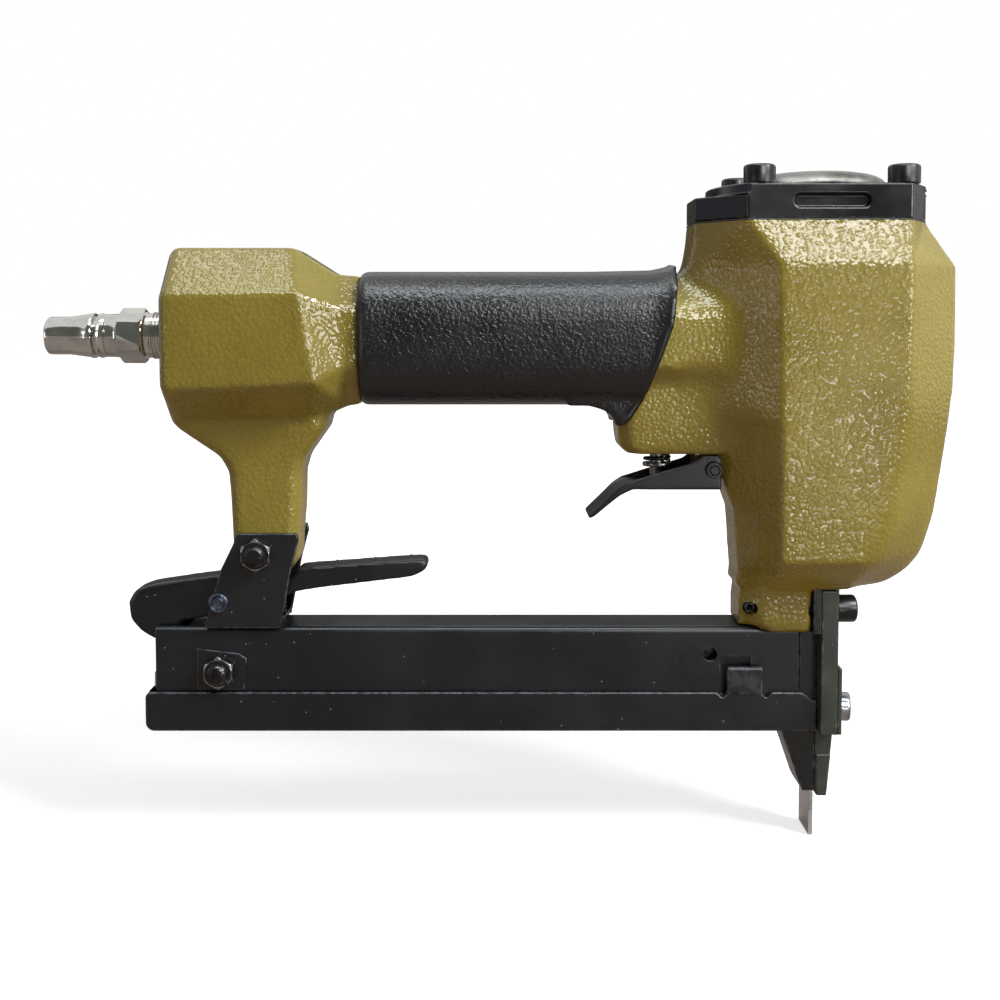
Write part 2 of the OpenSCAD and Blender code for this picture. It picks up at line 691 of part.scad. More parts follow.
module top_cap() color(black) difference() {
    union() {
        translate([0, 0, cap_z]) linear_extrude(cap_step_h) cap_outline();
        translate([0, 0, cap_z]) linear_extrude(cap_h) intersection() {
            cap_outline();
            translate([driver_x, 0]) circle(r = cap_step_r);
        }
    }
    bar_z(driver_x, head_top, skirt_r + run_gap, cap_pocket_top - head_top);
    bar_z(driver_x, head_top, head_valve_hole_r, cap_h);
    bar_z(driver_x, cap_z + cap_h - dome_t, dome_cavity_r, cap_h);
    at_cap_screws() translate([0, 0, head_top]) cylinder(h = cap_h + cut_over, r = screw_r + screw_hole_gap);
    // Exhaust slots on both sides, with the ducts up to the space under the dome
    for (sy = [-1, 1]) {
        y = sy * head_half * head_station_shares[8][5];
        translate([driver_x, y, cap_z + cap_h / 2]) rotate([90, 0, 0])
            linear_extrude(2 * cap_slot_depth, center = true) hull()
                for (sx = [-1, 1]) translate([sx * (cap_slot_l - cap_slot_h) / 2, 0]) circle(d = cap_slot_h);
    }
    // Groove line across the front end
    slab(driver_x + head_reach * head_station_shares[8][4] - cap_groove, cap_z + cap_h * 0.78,
        cap_slot_h, head_w, cap_groove);
}

module cap_screws() color(black) at_cap_screws() translate([0, 0, cap_z + cap_h])
    socket_screw(screw_r, screw_head_r, screw_head_h, screw_l - cut_over, hex_key);

dome_ball_r = (dome_r * dome_r + dome_rise * dome_rise) / (2 * dome_rise);
module dome_plate() color(steel) translate([driver_x, 0, cap_z + cap_h]) union() {
    intersection() {
        translate([0, 0, dome_rise - dome_ball_r]) difference() {
            sphere(r = dome_ball_r, $fn = 96);
            sphere(r = dome_ball_r - dome_t, $fn = 96);
        }
        cylinder(h = dome_rise + dome_t, r = dome_r);
    }
    difference() {
        translate([0, 0, -dome_t]) cylinder(h = 2 * dome_t, r = dome_cavity_r - run_gap);
        translate([0, 0, -dome_t - cut_over]) cylinder(h = 2 * dome_t + 2 * cut_over, r = dome_cavity_r - 2 * dome_t);
    }
}

// Cylinder sleeve with its rings, and the head valve above it
module cylinder_sleeve() color(steel) translate([driver_x, 0, 0]) rotate_extrude() difference() {
    union() {
        translate([cyl_r, cyl_floor]) square([cyl_wall, cyl_top - cyl_floor]);
        translate([cyl_r, head_top - ledge_drop]) square([chamber_r - run_gap - cyl_r, cyl_flange_h]);
    }
    translate([cyl_out_r - ring_wire, cyl_floor + ring_wire / 2]) square([2 * ring_wire, ring_wire + 2 * run_gap]);
    translate([chamber_r - ring_wire, head_top - ledge_drop + cyl_flange_h / 4])
        square([2 * ring_wire, ring_wire + 2 * run_gap]);
}

module cylinder_o_rings() color(black) {
    wire_ring(driver_x, cyl_floor + ring_wire + run_gap, cyl_out_r - ring_wire / 2 + run_gap / 2, ring_wire - run_gap);
    wire_ring(driver_x, head_top - ledge_drop + cyl_flange_h / 4 + ring_wire / 2 + run_gap,
        chamber_r - ring_wire / 2 - run_gap / 2, ring_wire - 2 * run_gap);
}

head_valve_z = seal_z + seal_h;
module head_valve_seal() color(black) translate([driver_x, 0, seal_z]) difference() {
    cylinder(h = seal_h, r = cyl_out_r + seal_lap);
    translate([0, 0, -cut_over]) cylinder(h = seal_h + 2 * cut_over, r = cyl_r + seat_gap);
}

skirt_groove_z = head_valve_z + valve_disc_h + skirt_h - 2 * ring_wire;
module head_valve() color(steel) translate([driver_x, 0, 0]) rotate_extrude() difference() {
    union() {
        translate([head_valve_hole_r, head_valve_z]) square([valve_disc_r - head_valve_hole_r, valve_disc_h]);
        translate([skirt_r - skirt_wall, head_valve_z]) square([skirt_wall, valve_disc_h + skirt_h]);
    }
    translate([skirt_r - ring_wire, skirt_groove_z]) square([2 * ring_wire, ring_wire + 2 * run_gap]);
}

module head_valve_o_ring() color(black) wire_ring(driver_x, skirt_groove_z + ring_wire / 2 + run_gap,
    skirt_r - ring_wire / 2 - run_gap / 2, ring_wire - 2 * run_gap);

module head_valve_spring() color(steel)
    translate([driver_x, 0, head_valve_z + valve_disc_h + run_gap])
        coil("head valve spring", head_spring_r, head_wire,
            cap_pocket_top - head_valve_z - valve_disc_h - 2 * run_gap, head_curls);

// Piston with the driver
piston_groove_z = piston_z + piston_h * 0.72;
module piston() color(steel) difference() {
    translate([driver_x, 0, 0]) rotate_extrude() difference() {
        translate([0, piston_z]) square([cyl_r - run_gap, piston_h]);
        translate([cyl_r - run_gap - ring_wire, piston_groove_z]) square([2 * ring_wire, ring_wire + 2 * run_gap]);
    }
    slab(driver_x - blade_slot_t / 2, piston_z - cut_over, blade_slot_t, blade_slot_w, blade_seat_h + cut_over + seat_gap);
    bar_x(driver_x - driver_pin_l / 2 - cut_over, 0, piston_z + blade_seat_h / 2, driver_pin_r + run_gap,
        driver_pin_l + 2 * cut_over);
}

module piston_o_ring() color(black) wire_ring(driver_x, piston_groove_z + ring_wire / 2 + run_gap,
    cyl_r - run_gap - ring_wire / 2, ring_wire - run_gap);

blade_tip = guide_bottom - blade_out;
module driver_blade() color(steel) difference() {
    slab(driver_x - blade_t / 2, blade_tip, blade_t, blade_w, piston_z + blade_seat_h - blade_tip);
    bar_x(driver_x - driver_pin_l / 2, 0, piston_z + blade_seat_h / 2, driver_pin_r + run_gap, driver_pin_l);
}

module driver_pin() color(steel)
    bar_x(driver_x - driver_pin_l / 2, 0, piston_z + blade_seat_h / 2, driver_pin_r, driver_pin_l);

module bumper() color(black) translate([driver_x, 0, cyl_floor]) difference() {
    cylinder(h = bumper_h, r = cyl_r - seat_gap);
    translate([0, 0, -cut_over]) cylinder(h = bumper_h + 2 * cut_over, r = bumper_bore_r);
}

// Trigger, a folded sheet lever on its pin
module trigger() color(black) difference() {
    translate([trigger_x, 0, -trigger_drop]) union() {
        difference() {
            across(trigger_w) polygon(scaled(trigger_outline_shares, -lever_l, lever_depth));
            slab(-2 * lever_l, -2 * lever_depth, 3 * lever_l, trigger_w - 2 * trigger_t, 4 * lever_depth);
        }
        across(trigger_w) polygon(scaled(trigger_web_shares, -lever_l, lever_depth));
    }
    bar_y(trigger_x, -trigger_drop, trigger_pin_r + run_gap, 2 * trigger_w);
}

module trigger_pin() color(steel) {
    bar_y(trigger_x, -trigger_drop, trigger_pin_r, trigger_w + 2 * move_gap + 2 * pin_head_h);
    translate([trigger_x, -trigger_w / 2 - move_gap, -trigger_drop]) rotate([90, 0, 0])
        cylinder(h = pin_head_h, r = pin_head_r);
}

module trigger_pin_clip() color(steel)
    translate([trigger_x, trigger_w / 2 + move_gap, -trigger_drop]) rotate([-90, 0, 0]) difference() {
        cylinder(h = pin_head_h / 2, r = pin_head_r);
        translate([0, 0, -cut_over]) cylinder(h = pin_head_h + 2 * cut_over, r = trigger_pin_r + run_gap);
    }

// Trigger valve
bushing_o_rise = 12.5;
bushing_o_z = bushing_bottom + bushing_o_rise;
bushing_o_shares = [0, 0.9];
bushing_o_span = bushing_top - bushing_o_z - 3 * o_wire;
module valve_bushing() color(brass) translate([valve_x, 0, 0]) rotate_extrude() difference() {
    translate([stem_r + run_gap, bushing_bottom])
        square([valve_bore_r - stem_r - 2 * run_gap, bushing_top - bushing_bottom]);
    translate([0, bushing_bottom - cut_over]) square([spring_pocket_r, spring_pocket_h + cut_over]);
    translate([0, bushing_top - valve_room_h]) square([valve_head_r + 2 * run_gap, valve_room_h + cut_over]);
    for (s = bushing_o_shares)
        translate([valve_bore_r - o_wire, bushing_o_z + s * bushing_o_span]) square([2 * o_wire, o_wire + 2 * run_gap]);
}

module bushing_o_rings() color(black) for (s = bushing_o_shares)
    wire_ring(valve_x, bushing_o_z + s * bushing_o_span + o_wire / 2 + run_gap,
        valve_bore_r - o_wire / 2 - run_gap / 2, o_wire - 2 * run_gap);

valve_head_z = bushing_top - valve_room_h + move_gap;
module valve_stem() color(steel) difference() {
    union() {
        bar_z(valve_x, stem_tip + stem_r, stem_r, valve_head_z + valve_head_h - stem_tip - stem_r);
        translate([valve_x, 0, stem_tip + stem_r]) sphere(r = stem_r);
        bar_z(valve_x, collar_z, collar_r, collar_h);
        bar_z(valve_x, valve_head_z, valve_head_r, valve_head_h);
    }
    translate([valve_x, 0, valve_head_z + valve_head_h / 2 - o_wire / 2]) rotate_extrude()
        translate([valve_head_r - o_wire, 0]) square([2 * o_wire, o_wire]);
}

module stem_o_ring() color(black) wire_ring(valve_x, valve_head_z + valve_head_h / 2,
    valve_head_r - o_wire / 2 + run_gap / 2, o_wire - run_gap);

valve_spring_z = collar_z + collar_h + run_gap;
module valve_spring() color(black) translate([valve_x, 0, valve_spring_z])
    coil("valve spring", valve_coil_r, valve_wire,
        bushing_bottom + spring_pocket_h - valve_spring_z - run_gap, valve_curls);

// Air plug with its washer
function plug_at(i) = -rear_x - washer_t - plug_l * (1 - plug_station_shares[i]);
module air_plug() color(steel) difference() {
    union() {
        translate([-rear_x - washer_t - plug_l, 0, 0]) rotate([0, 90, 0]) rotate_extrude() polygon([
            [0, 0], [plug_nose_r - cap_groove, 0], [plug_nose_r, cap_groove],
            [plug_nose_r, plug_l * plug_station_shares[0]], [plug_body_r, plug_l * plug_station_shares[1]],
            [plug_body_r, plug_l * plug_station_shares[2]], [plug_groove_r, plug_l * plug_station_shares[2]],
            [plug_groove_r, plug_l * plug_station_shares[3]], [plug_body_r, plug_l * plug_station_shares[3]],
            [plug_body_r, plug_l * plug_station_shares[4]], [plug_thread_r, plug_l * plug_station_shares[4]],
            [plug_thread_r, plug_l + washer_t + plug_thread_l], [0, plug_l + washer_t + plug_thread_l]]);
        translate([plug_at(4), 0, 0]) rotate([0, 90, 0]) rotate([0, 0, 30])
            cylinder(h = plug_l * (plug_station_shares[5] - plug_station_shares[4]), d = plug_hex * 2 / sqrt(3), $fn = 6);
    }
    bar_x(-rear_x - washer_t - plug_l - cut_over, 0, 0, plug_bore_r, plug_l + washer_t + plug_thread_l + 2 * cut_over);
}

module plug_washer() color(brass) difference() {
    bar_x(-rear_x - washer_t, 0, 0, washer_r, washer_t);
    bar_x(-rear_x - washer_t - cut_over, 0, 0, plug_thread_r + run_gap, washer_t + 2 * cut_over);
}

// Nose: rear guide with the driver groove, front plate, cover plate and screws
guide_rear_shares = [[0, 0.08], [0.24, 0.42], [0.57, 0.9], [0.66, 1]];
guide_behind = 8.4;
guide_back_l = nose_x - driver_x + guide_behind;
module nose_guide() color(black) difference() {
    union() {
        slab(foot_front_x + run_gap, foot_bottom - seat_gap, nose_x - foot_front_x - run_gap, nose_w - 2 * seat_gap,
            head_floor - foot_bottom + seat_gap - run_gap);
        slab(mag_front + seat_gap, mag_floor - 2 * seat_gap, nose_x - mag_front - seat_gap, guide_w,
            foot_bottom - seat_gap - mag_floor + 2 * seat_gap);
        across(tip_w) polygon(concat([[nose_x - guide_back_l, mag_floor - move_gap], [nose_x, mag_floor - move_gap],
            [nose_x, guide_bottom]], [for (i = [len(guide_rear_shares) - 1 : -1 : 0]) let (s = guide_rear_shares[i])
            [nose_x - guide_back_l * (1 - s[0]), mag_floor - s[1] * guide_drop]]));
        slab(mag_front + seat_gap, mag_floor - 2 * move_gap, nose_x - mag_front - seat_gap, tip_w, 2 * move_gap);
    }
    slab(nose_x - blade_t - seat_gap - run_gap, guide_bottom - cut_over, blade_t + seat_gap + run_gap + cut_over,
        blade_slot_w, head_floor - guide_bottom + 2 * cut_over);
    slab(mag_front - cut_over, mag_floor + cover_t, nose_x - mag_front + cut_over - blade_t, staple_w + 2 * move_gap,
        foot_bottom - seat_gap - mag_floor - 2 * cover_t);
    for (sy = [-1, 1])
        bar_x(foot_front_x - cut_over, sy * nose_screw_y, nose_screw_z, nose_screw_r + screw_hole_gap, 4 * cut_over);
}

tongue_out = 1.5;
tongue_shares = [[0, 0], [1.08, 0], [1.08, 0.08], [0.75, 1], [0.15, 1], [0, 0.9]];
module nose_plate() color(black) difference() {
    union() {
        slab(nose_x + run_gap, nose_bottom, nose_t - run_gap, nose_w, nose_h);
        translate([nose_x + run_gap, 0, nose_bottom + run_gap]) across(tip_w)
            polygon(scaled(tongue_shares, nose_t, guide_bottom - nose_bottom - tongue_out));
    }
    for (sy = [-1, 1])
        bar_x(nose_x - cut_over, sy * nose_screw_y, nose_screw_z, nose_screw_r + screw_hole_gap, nose_t + 2 * cut_over);
    bar_x(nose_x + nose_t / 4, 0, nose_lower_z, nose_screw_r + run_gap, nose_t);
}

module nose_cover() color(black) difference() {
    slab(nose_x + nose_t, nose_bottom + 2 * run_gap, nose_cover_t, nose_w, nose_cover_h);
    bar_x(nose_x + nose_t - cut_over, 0, nose_lower_z, nose_screw_r + screw_hole_gap, nose_cover_t + 2 * cut_over);
}

module nose_screws() color(black) for (sy = [-1, 1])
    translate([nose_x + nose_t, sy * nose_screw_y, nose_screw_z]) rotate([0, 90, 0])
        socket_screw(nose_screw_r, nose_screw_head_r, nose_screw_head_h, nose_screw_l - cut_over, hex_key);

module nose_lower_screw() color(steel) translate([nose_x + nose_t + nose_cover_t, 0, nose_lower_z]) rotate([0, 90, 0])
    socket_screw(nose_screw_r, nose_lower_head_r, nose_screw_head_h, nose_cover_t + nose_t / 2, hex_key);

module foot_pin() color(steel) bar_y(foot_pin_x, foot_pin_z, foot_pin_r, foot_w - 2 * cap_groove);

// Fixed magazine channel with the lug that hangs it in the foot
module channel_pad() {
    rotate([90, 0, 0]) linear_extrude(pad_t) polygon([[-pad_l / 2, -pad_h / 2], [pad_l / 2, -pad_h / 2],
        [pad_l * 0.55, pad_h * 0.3], [pad_l * 0.4, pad_h * 0.42], [-pad_l / 2, pad_h * 0.55]]);
}

module magazine_channel() color(black) difference() {
    union() {
        slab(-mag_rear, mag_floor + cover_t + move_gap, mag_rear + mag_front, channel_w, mag_h - cover_t - move_gap);
        slab(mag_front - channel_lug_l, mag_top - channel_t / 2, channel_lug_l, channel_lug_w, channel_lug_h + channel_t / 2);
        for (m = [0, 1]) mirror([0, m, 0])
            translate([-channel_screw_x, -channel_w / 2, mag_top - channel_screw_drop]) channel_pad();
    }
    slab(-mag_rear - cut_over, mag_floor, mag_rear + mag_front + 2 * cut_over, channel_w - 2 * channel_t, mag_h - channel_t);
    // Running grooves for the cover's lips
    for (sy = [-1, 1])
        translate([0, sy * channel_w / 2, 0])
            slab(-mag_rear - cut_over, cover_top - lip_h - move_gap, mag_rear + mag_front + 2 * cut_over,
                2 * groove_depth, lip_h + 2 * move_gap);
    // Notch for the latch's hook, side holes, screw holes with recesses, pin hole
    slab(-mag_rear - cut_over, mag_top - 2 * channel_t, latch_back / 3 + cut_over, channel_w - 2 * channel_t, 3 * channel_t);
    bar_y(side_hole_x, mag_top - side_hole_drop, side_hole_r, 2 * channel_w);
    bar_y(-channel_screw_x, mag_top - channel_screw_drop, screw_r + run_gap, 2 * channel_w);
    bar_y(-channel_screw_x, mag_top - channel_screw_drop, screw_head_r + run_gap, channel_w - channel_t);
    bar_y(foot_pin_x, foot_pin_z, foot_pin_r + run_gap, 2 * foot_w);
}

module channel_screws() color(steel) for (m = [0, 1]) mirror([0, m, 0])
    translate([-channel_screw_x, -channel_w / 2 + channel_t / 2 + run_gap, mag_top - channel_screw_drop])
        rotate([90, 0, 0]) union() {
            translate([0, 0, -channel_t / 2 + 2 * run_gap]) cylinder(h = channel_t / 2 - 2 * run_gap, r = screw_head_r);
            translate([0, 0, -channel_t / 4]) cylinder(h = channel_t + pad_t + nut_h + cut_over, r = screw_r);
        }

module channel_nuts() color(steel) for (m = [0, 1]) mirror([0, m, 0])
    translate([-channel_screw_x, -channel_w / 2 - pad_t, mag_top - channel_screw_drop]) rotate([90, 0, 0])
        hex_nut(nut_flat, nut_h, screw_r + run_gap);

// Rear bracket between the leg and the magazine, with its screw
module rear_bracket() color(black) difference() {
    union() {
        for (m = [0, 1]) mirror([0, m, 0]) translate([-bracket_x, -bracket_y - bracket_t / 2, mag_top])
            across(bracket_t) polygon(scaled(bracket_outline_shares, bracket_l, bracket_h));
        slab(-bracket_x - bracket_l / 2, mag_top, bracket_l, 2 * bracket_y, bracket_t);
    }
    bar_y(-bracket_screw_x, bracket_screw_z, screw_r + screw_hole_gap, 4 * leg_w);
    bar_y(-latch_x, latch_z, latch_pin_r + run_gap, 4 * leg_w);
}

bracket_out = bracket_y + bracket_t;
module bracket_screw() color(steel) translate([-bracket_screw_x, bracket_out, bracket_screw_z]) rotate([-90, 0, 0])
    socket_screw(screw_r, screw_head_r, screw_head_h, 2 * bracket_out + nut_h + cut_over, hex_key);

module bracket_nut() color(steel) translate([-bracket_screw_x, -bracket_out, bracket_screw_z]) rotate([90, 0, 0])
    hex_nut(nut_flat, nut_h, screw_r + run_gap);

// Latch lever with its pin, clip and return spring
module latch_lever() color(black) difference() {
    translate([-latch_x, 0, latch_z]) union() {
        across(latch_w) polygon(scaled(latch_rear_shares, latch_back, lobe_h));
        across(latch_w) polygon(scaled(latch_arm_shares, latch_arm, latch_arm_h));
        for (s = ridge_shares)
            translate([latch_arm * s, 0, latch_arm_h * (0.90 + (s - 0.39) * 0.44)]) rotate([90, 0, 0])
                cylinder(h = latch_w, r = ridge_r, center = true);
    }
    bar_y(-latch_x, latch_z, latch_pin_r + run_gap, 2 * latch_w);
}

module latch_pin() color(steel) {
    bar_y(-latch_x, latch_z, latch_pin_r, 2 * (bracket_out + seat_gap + pin_head_h));
    translate([-latch_x, -bracket_out - seat_gap, latch_z]) rotate([90, 0, 0]) cylinder(h = pin_head_h, r = pin_head_r);
}

module latch_pin_clip() color(steel) translate([-latch_x, bracket_out + seat_gap, latch_z]) rotate([-90, 0, 0])
    difference() {
        cylinder(h = pin_head_h / 2, r = pin_head_r + pin_head_h / 2);
        translate([0, 0, -cut_over]) cylinder(h = pin_head_h + 2 * cut_over, r = latch_pin_r + run_gap);
    }

latch_spring_h = latch_rise - bracket_t - latch_arm_h * 0.085 - 2 * seat_gap;
module latch_spring() color(steel) translate([-latch_spring_x, 0, mag_top + bracket_t + seat_gap])
    coil("latch spring", latch_coil_r, latch_wire, latch_spring_h, latch_curls);

// Sliding cover with its rail and end block
cover_l = cover_back + cover_front;
module magazine_cover() color(black) difference() {
    union() {
        difference() {
            slab(-cover_back, mag_floor, cover_l, cover_w, cover_h);
            slab(-cover_back + cover_t, mag_floor + cover_t, cover_l, cover_w - 2 * cover_t, cover_h);
        }
        for (sy = [-1, 1])
            translate([0, sy * (cover_w / 2 - (cover_t + move_gap + groove_depth / 2) / 2), 0])
                slab(-cover_back, cover_top - lip_h, cover_back + mag_front - move_gap,
                    cover_t + move_gap + groove_depth / 2, lip_h);
        for (sy = [-1, 1]) translate([0, sy * (cover_w - cover_t) / 2, 0])
            slab(tab_x, cover_top - cover_t, tab_l, cover_t, tab_h + cover_t);
    }
    // Room for the nose guide ahead, relief notches beside the tabs, stepped front corner
    slab(mag_front - move_gap, mag_floor - cut_over, driver_x, guide_w + 2 * move_gap, cover_h + 2 * cut_over);
    for (x = [tab_x - notch_w / 2, tab_x + tab_l + notch_w / 2])
        translate([x, 0, cover_top]) rotate([0, 45, 0]) cube([notch_w, 2 * cover_w, notch_w], center = true);
    slab(cover_front - cover_step_l, cover_top - cover_t, cover_l, 2 * cover_w, cover_h);
}

module staple_rail() color(steel) difference() {
    slab(-rail_rear, mag_floor + cover_t, rail_rear + rail_front, rail_w, rail_top - mag_floor - cover_t);
    slab(-rail_rear - cut_over, mag_floor, rail_rear + rail_front + 2 * cut_over, rail_w - 2 * rail_wall,
        rail_top - mag_floor - rail_wall);
    slab(-rail_rear - cut_over, mag_floor, rail_rear + pusher_front - pusher_l / 2 + cut_over, rail_slot_w, mag_h);
}

module cover_end_block() color(steel) slab(-cover_back + cover_t + run_gap, mag_floor + cover_t,
    end_block_l, rail_w, end_block_h);

// Pusher that rides on the rail, with its spring inside the rail
module pusher() color(steel) difference() {
    union() {
        difference() {
            slab(pusher_front - pusher_l, mag_floor + cover_t + move_gap, pusher_l, rail_w + 2 * (run_gap * 2 + pusher_wall),
                rail_top + 2 * run_gap + pusher_wall - mag_floor - cover_t - move_gap);
            slab(pusher_front - pusher_l - cut_over, mag_floor, pusher_l + 2 * cut_over, rail_w + 4 * run_gap,
                rail_top + 2 * run_gap - mag_floor);
        }
        slab(pusher_front - pusher_l, coil_z - coil_r, pusher_l / 3, pusher_tongue_w, rail_top - coil_z + coil_r + pusher_wall);
    }
}

coil_rear = -cover_back + cover_t + end_block_l + 2 * run_gap;
module pusher_spring() color(steel) translate([coil_rear, 0, coil_z]) rotate([0, 90, 0])
    coil("pusher spring", coil_r, coil_wire, pusher_front - pusher_l - coil_rear - run_gap, pusher_curls);

body_casting();
grip_sleeve();
top_cap();
cap_gasket();
cap_screws();
dome_plate();
cylinder_sleeve();
cylinder_o_rings();
head_valve();
head_valve_seal();
head_valve_o_ring();
head_valve_spring();
piston();
piston_o_ring();
driver_blade();
driver_pin();
bumper();
trigger();
trigger_pin();
trigger_pin_clip();
valve_bushing();
bushing_o_rings();
valve_stem();
stem_o_ring();
valve_spring();
air_plug();
plug_washer();
nose_guide();
nose_plate();
nose_cover();
nose_screws();
nose_lower_screw();
foot_pin();
magazine_channel();
channel_screws();
channel_nuts();
rear_bracket();
bracket_screw();
bracket_nut();
latch_lever();
latch_pin();
latch_pin_clip();
latch_spring();
magazine_cover();
staple_rail();
cover_end_block();
pusher();
pusher_spring();
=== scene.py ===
"""Pneumatic upholstery stapler: looks of the cast body, grip, cap, trigger, nose, magazine and latch."""
from math import atan2, hypot, pi, radians, sqrt

import bpy
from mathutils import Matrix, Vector


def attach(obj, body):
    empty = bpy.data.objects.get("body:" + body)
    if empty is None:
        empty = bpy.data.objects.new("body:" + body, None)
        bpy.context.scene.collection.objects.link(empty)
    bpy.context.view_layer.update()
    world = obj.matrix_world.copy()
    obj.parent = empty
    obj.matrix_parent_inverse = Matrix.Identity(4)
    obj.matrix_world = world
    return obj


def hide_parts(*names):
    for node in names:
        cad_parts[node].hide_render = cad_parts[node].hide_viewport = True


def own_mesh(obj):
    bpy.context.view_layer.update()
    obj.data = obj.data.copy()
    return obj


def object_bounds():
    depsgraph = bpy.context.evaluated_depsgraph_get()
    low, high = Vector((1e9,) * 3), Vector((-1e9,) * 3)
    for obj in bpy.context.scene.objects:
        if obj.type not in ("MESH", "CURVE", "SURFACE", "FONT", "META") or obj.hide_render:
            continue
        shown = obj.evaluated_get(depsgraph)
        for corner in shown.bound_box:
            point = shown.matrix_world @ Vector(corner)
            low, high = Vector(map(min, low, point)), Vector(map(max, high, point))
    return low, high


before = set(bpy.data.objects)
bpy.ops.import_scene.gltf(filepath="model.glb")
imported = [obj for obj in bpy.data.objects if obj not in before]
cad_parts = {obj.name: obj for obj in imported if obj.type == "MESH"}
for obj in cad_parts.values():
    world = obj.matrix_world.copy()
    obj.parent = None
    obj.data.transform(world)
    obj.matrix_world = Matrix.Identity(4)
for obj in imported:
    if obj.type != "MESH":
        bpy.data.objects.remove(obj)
cad_box = [list(corner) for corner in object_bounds()]
MM = 0.001
SAME_POINT = 1e-6  # in m: points nearer than this are made one
FLAT = radians(0.4)  # faces that differ by less are made one

# Places repeated from the part, in mm: axes of the driver and valve, pivots, levels of the cap and the cylinder
DRIVER_X, VALVE_X = 83, 40.244
TRIGGER_X, TRIGGER_Z = 54.844, -36.5
LATCH_X, LATCH_Z = -80.2, -72.7
SEAT_Z, CAP_TOP, CYL_FLOOR = 30.3, 40.0, -57.0

# Places of the fasteners, in mm; those of the cap screws are x and y
LEG_SCREW_X, LEG_SCREW_Z = -69.5, -59.18
FOOT_PIN_X, FOOT_PIN_Z = 64.8, -74.2
NOSE_SCREW_Y, NOSE_SCREW_Z = 8.3, -74.5
MAGAZINE_SCREW_Z = -91.7
CAP_SCREWS = [(64.69, -16), (64.69, 16), (102.71, -16), (102.71, 16)]


# ----- bench helpers
def pick_only(*things):
    """Leaves just these objects selected, the first one active."""
    if bpy.context.object and bpy.context.object.mode != "OBJECT":
        bpy.ops.object.mode_set(mode="OBJECT")
    bpy.ops.object.select_all(action="DESELECT")
    for thing in things:
        thing.select_set(True)
    bpy.context.view_layer.objects.active = things[0]


def open_mesh(piece):
    """Goes into edit mode on one piece, with everything selected."""
    pick_only(piece)
    bpy.ops.object.mode_set(mode="EDIT")
    bpy.ops.mesh.select_mode(type="VERT")
    bpy.ops.mesh.select_all(action="SELECT")


def close_mesh():
    """Goes back to object mode."""
    bpy.ops.object.mode_set(mode="OBJECT")


def marked(piece, kind, items, test):
    """Goes into edit mode with just the faces or edges that pass the test selected."""
    pick_only(piece)
    mesh = piece.data
    for others in (mesh.vertices, mesh.edges, mesh.polygons):
        others.foreach_set("select", [False] * len(others))
    for item in items:
        item.select = test(item)
    bpy.ops.object.mode_set(mode="EDIT")
    bpy.ops.mesh.select_mode(type=kind)


def pulled(x, y, z):
    """Draws out what is selected, in mm."""
    bpy.ops.mesh.extrude_region_move(TRANSFORM_OT_translate={"value": (x * MM, y * MM, z * MM)})


def applied(piece, kind, **values):
    """Adds a modifier with these values and applies it."""
    pick_only(piece)
    modifier = piece.modifiers.new(kind.title(), kind)
    for key, value in values.items():
        setattr(modifier, key, value)
    bpy.ops.object.modifier_apply(modifier=modifier.name)
    return piece


def shaded(piece, angle):
    """Smooth shading, with edges sharper than the angle kept."""
    pick_only(piece)
    bpy.ops.object.shade_smooth_by_angle(angle=radians(angle))
    return piece


def weighted(piece, share):
    """Names a vertex group whose weights are a function of each point, in mm."""
    group = piece.vertex_groups.new(name="share")
    for vert in piece.data.vertices:
        weight = share(*[c / MM for c in vert.co])
        if weight > 0:
            group.add([vert.index], weight, "REPLACE")
    return group.name


def smoothed(piece, passes, share=None):
    """Wears a piece round, all over or by a share that depends on the place."""
    applied(piece, "SMOOTH", factor=0.5, iterations=passes, vertex_group=weighted(piece, share) if share else "")
    piece.vertex_groups.clear()
    return piece


def shifted(piece, distance, share, direction="NORMAL"):
    """Moves a piece's skin, in mm, by a share that depends on the place."""
    applied(piece, "DISPLACE", strength=distance * MM, mid_level=0.0, direction=direction,
            vertex_group=weighted(piece, share))
    piece.vertex_groups.clear()


def remeshed(piece, voxel):
    """One even skin over all that a piece holds. Voxel in mm."""
    return applied(piece, "REMESH", mode="VOXEL", voxel_size=voxel * MM, adaptivity=0)


def placed_here(piece):
    """Applies a piece's place, turn and size to its mesh."""
    pick_only(piece)
    bpy.ops.object.transform_apply(location=True, rotation=True, scale=True)
    return piece


def settle(piece, smooth=35):
    """Leaves the piece at the origin with outward faces and clean shading."""
    placed_here(piece)
    open_mesh(piece)
    bpy.ops.mesh.remove_doubles(threshold=SAME_POINT)
    bpy.ops.mesh.normals_make_consistent(inside=False)
    close_mesh()
    return shaded(piece, smooth)


def joined(name, *pieces):
    """Joins pieces into the first one, under this name."""
    pick_only(*pieces)
    if len(pieces) > 1:
        bpy.ops.object.join()
    pieces[0].name = name
    pieces[0].data.name = name
    return pieces[0]


def placed(piece, x=0, y=0, z=0, turn=(0, 0, 0)):
    """Puts a piece's mesh in place, in mm and degrees."""
    piece.location = (x * MM, y * MM, z * MM)
    piece.rotation_euler = [radians(t) for t in turn]
    return placed_here(piece)


def copied(piece, name):
    """A copy with a mesh of its own."""
    twin = piece.copy()
    twin.data = piece.data.copy()
    twin.name = name
    bpy.context.collection.objects.link(twin)
    return twin


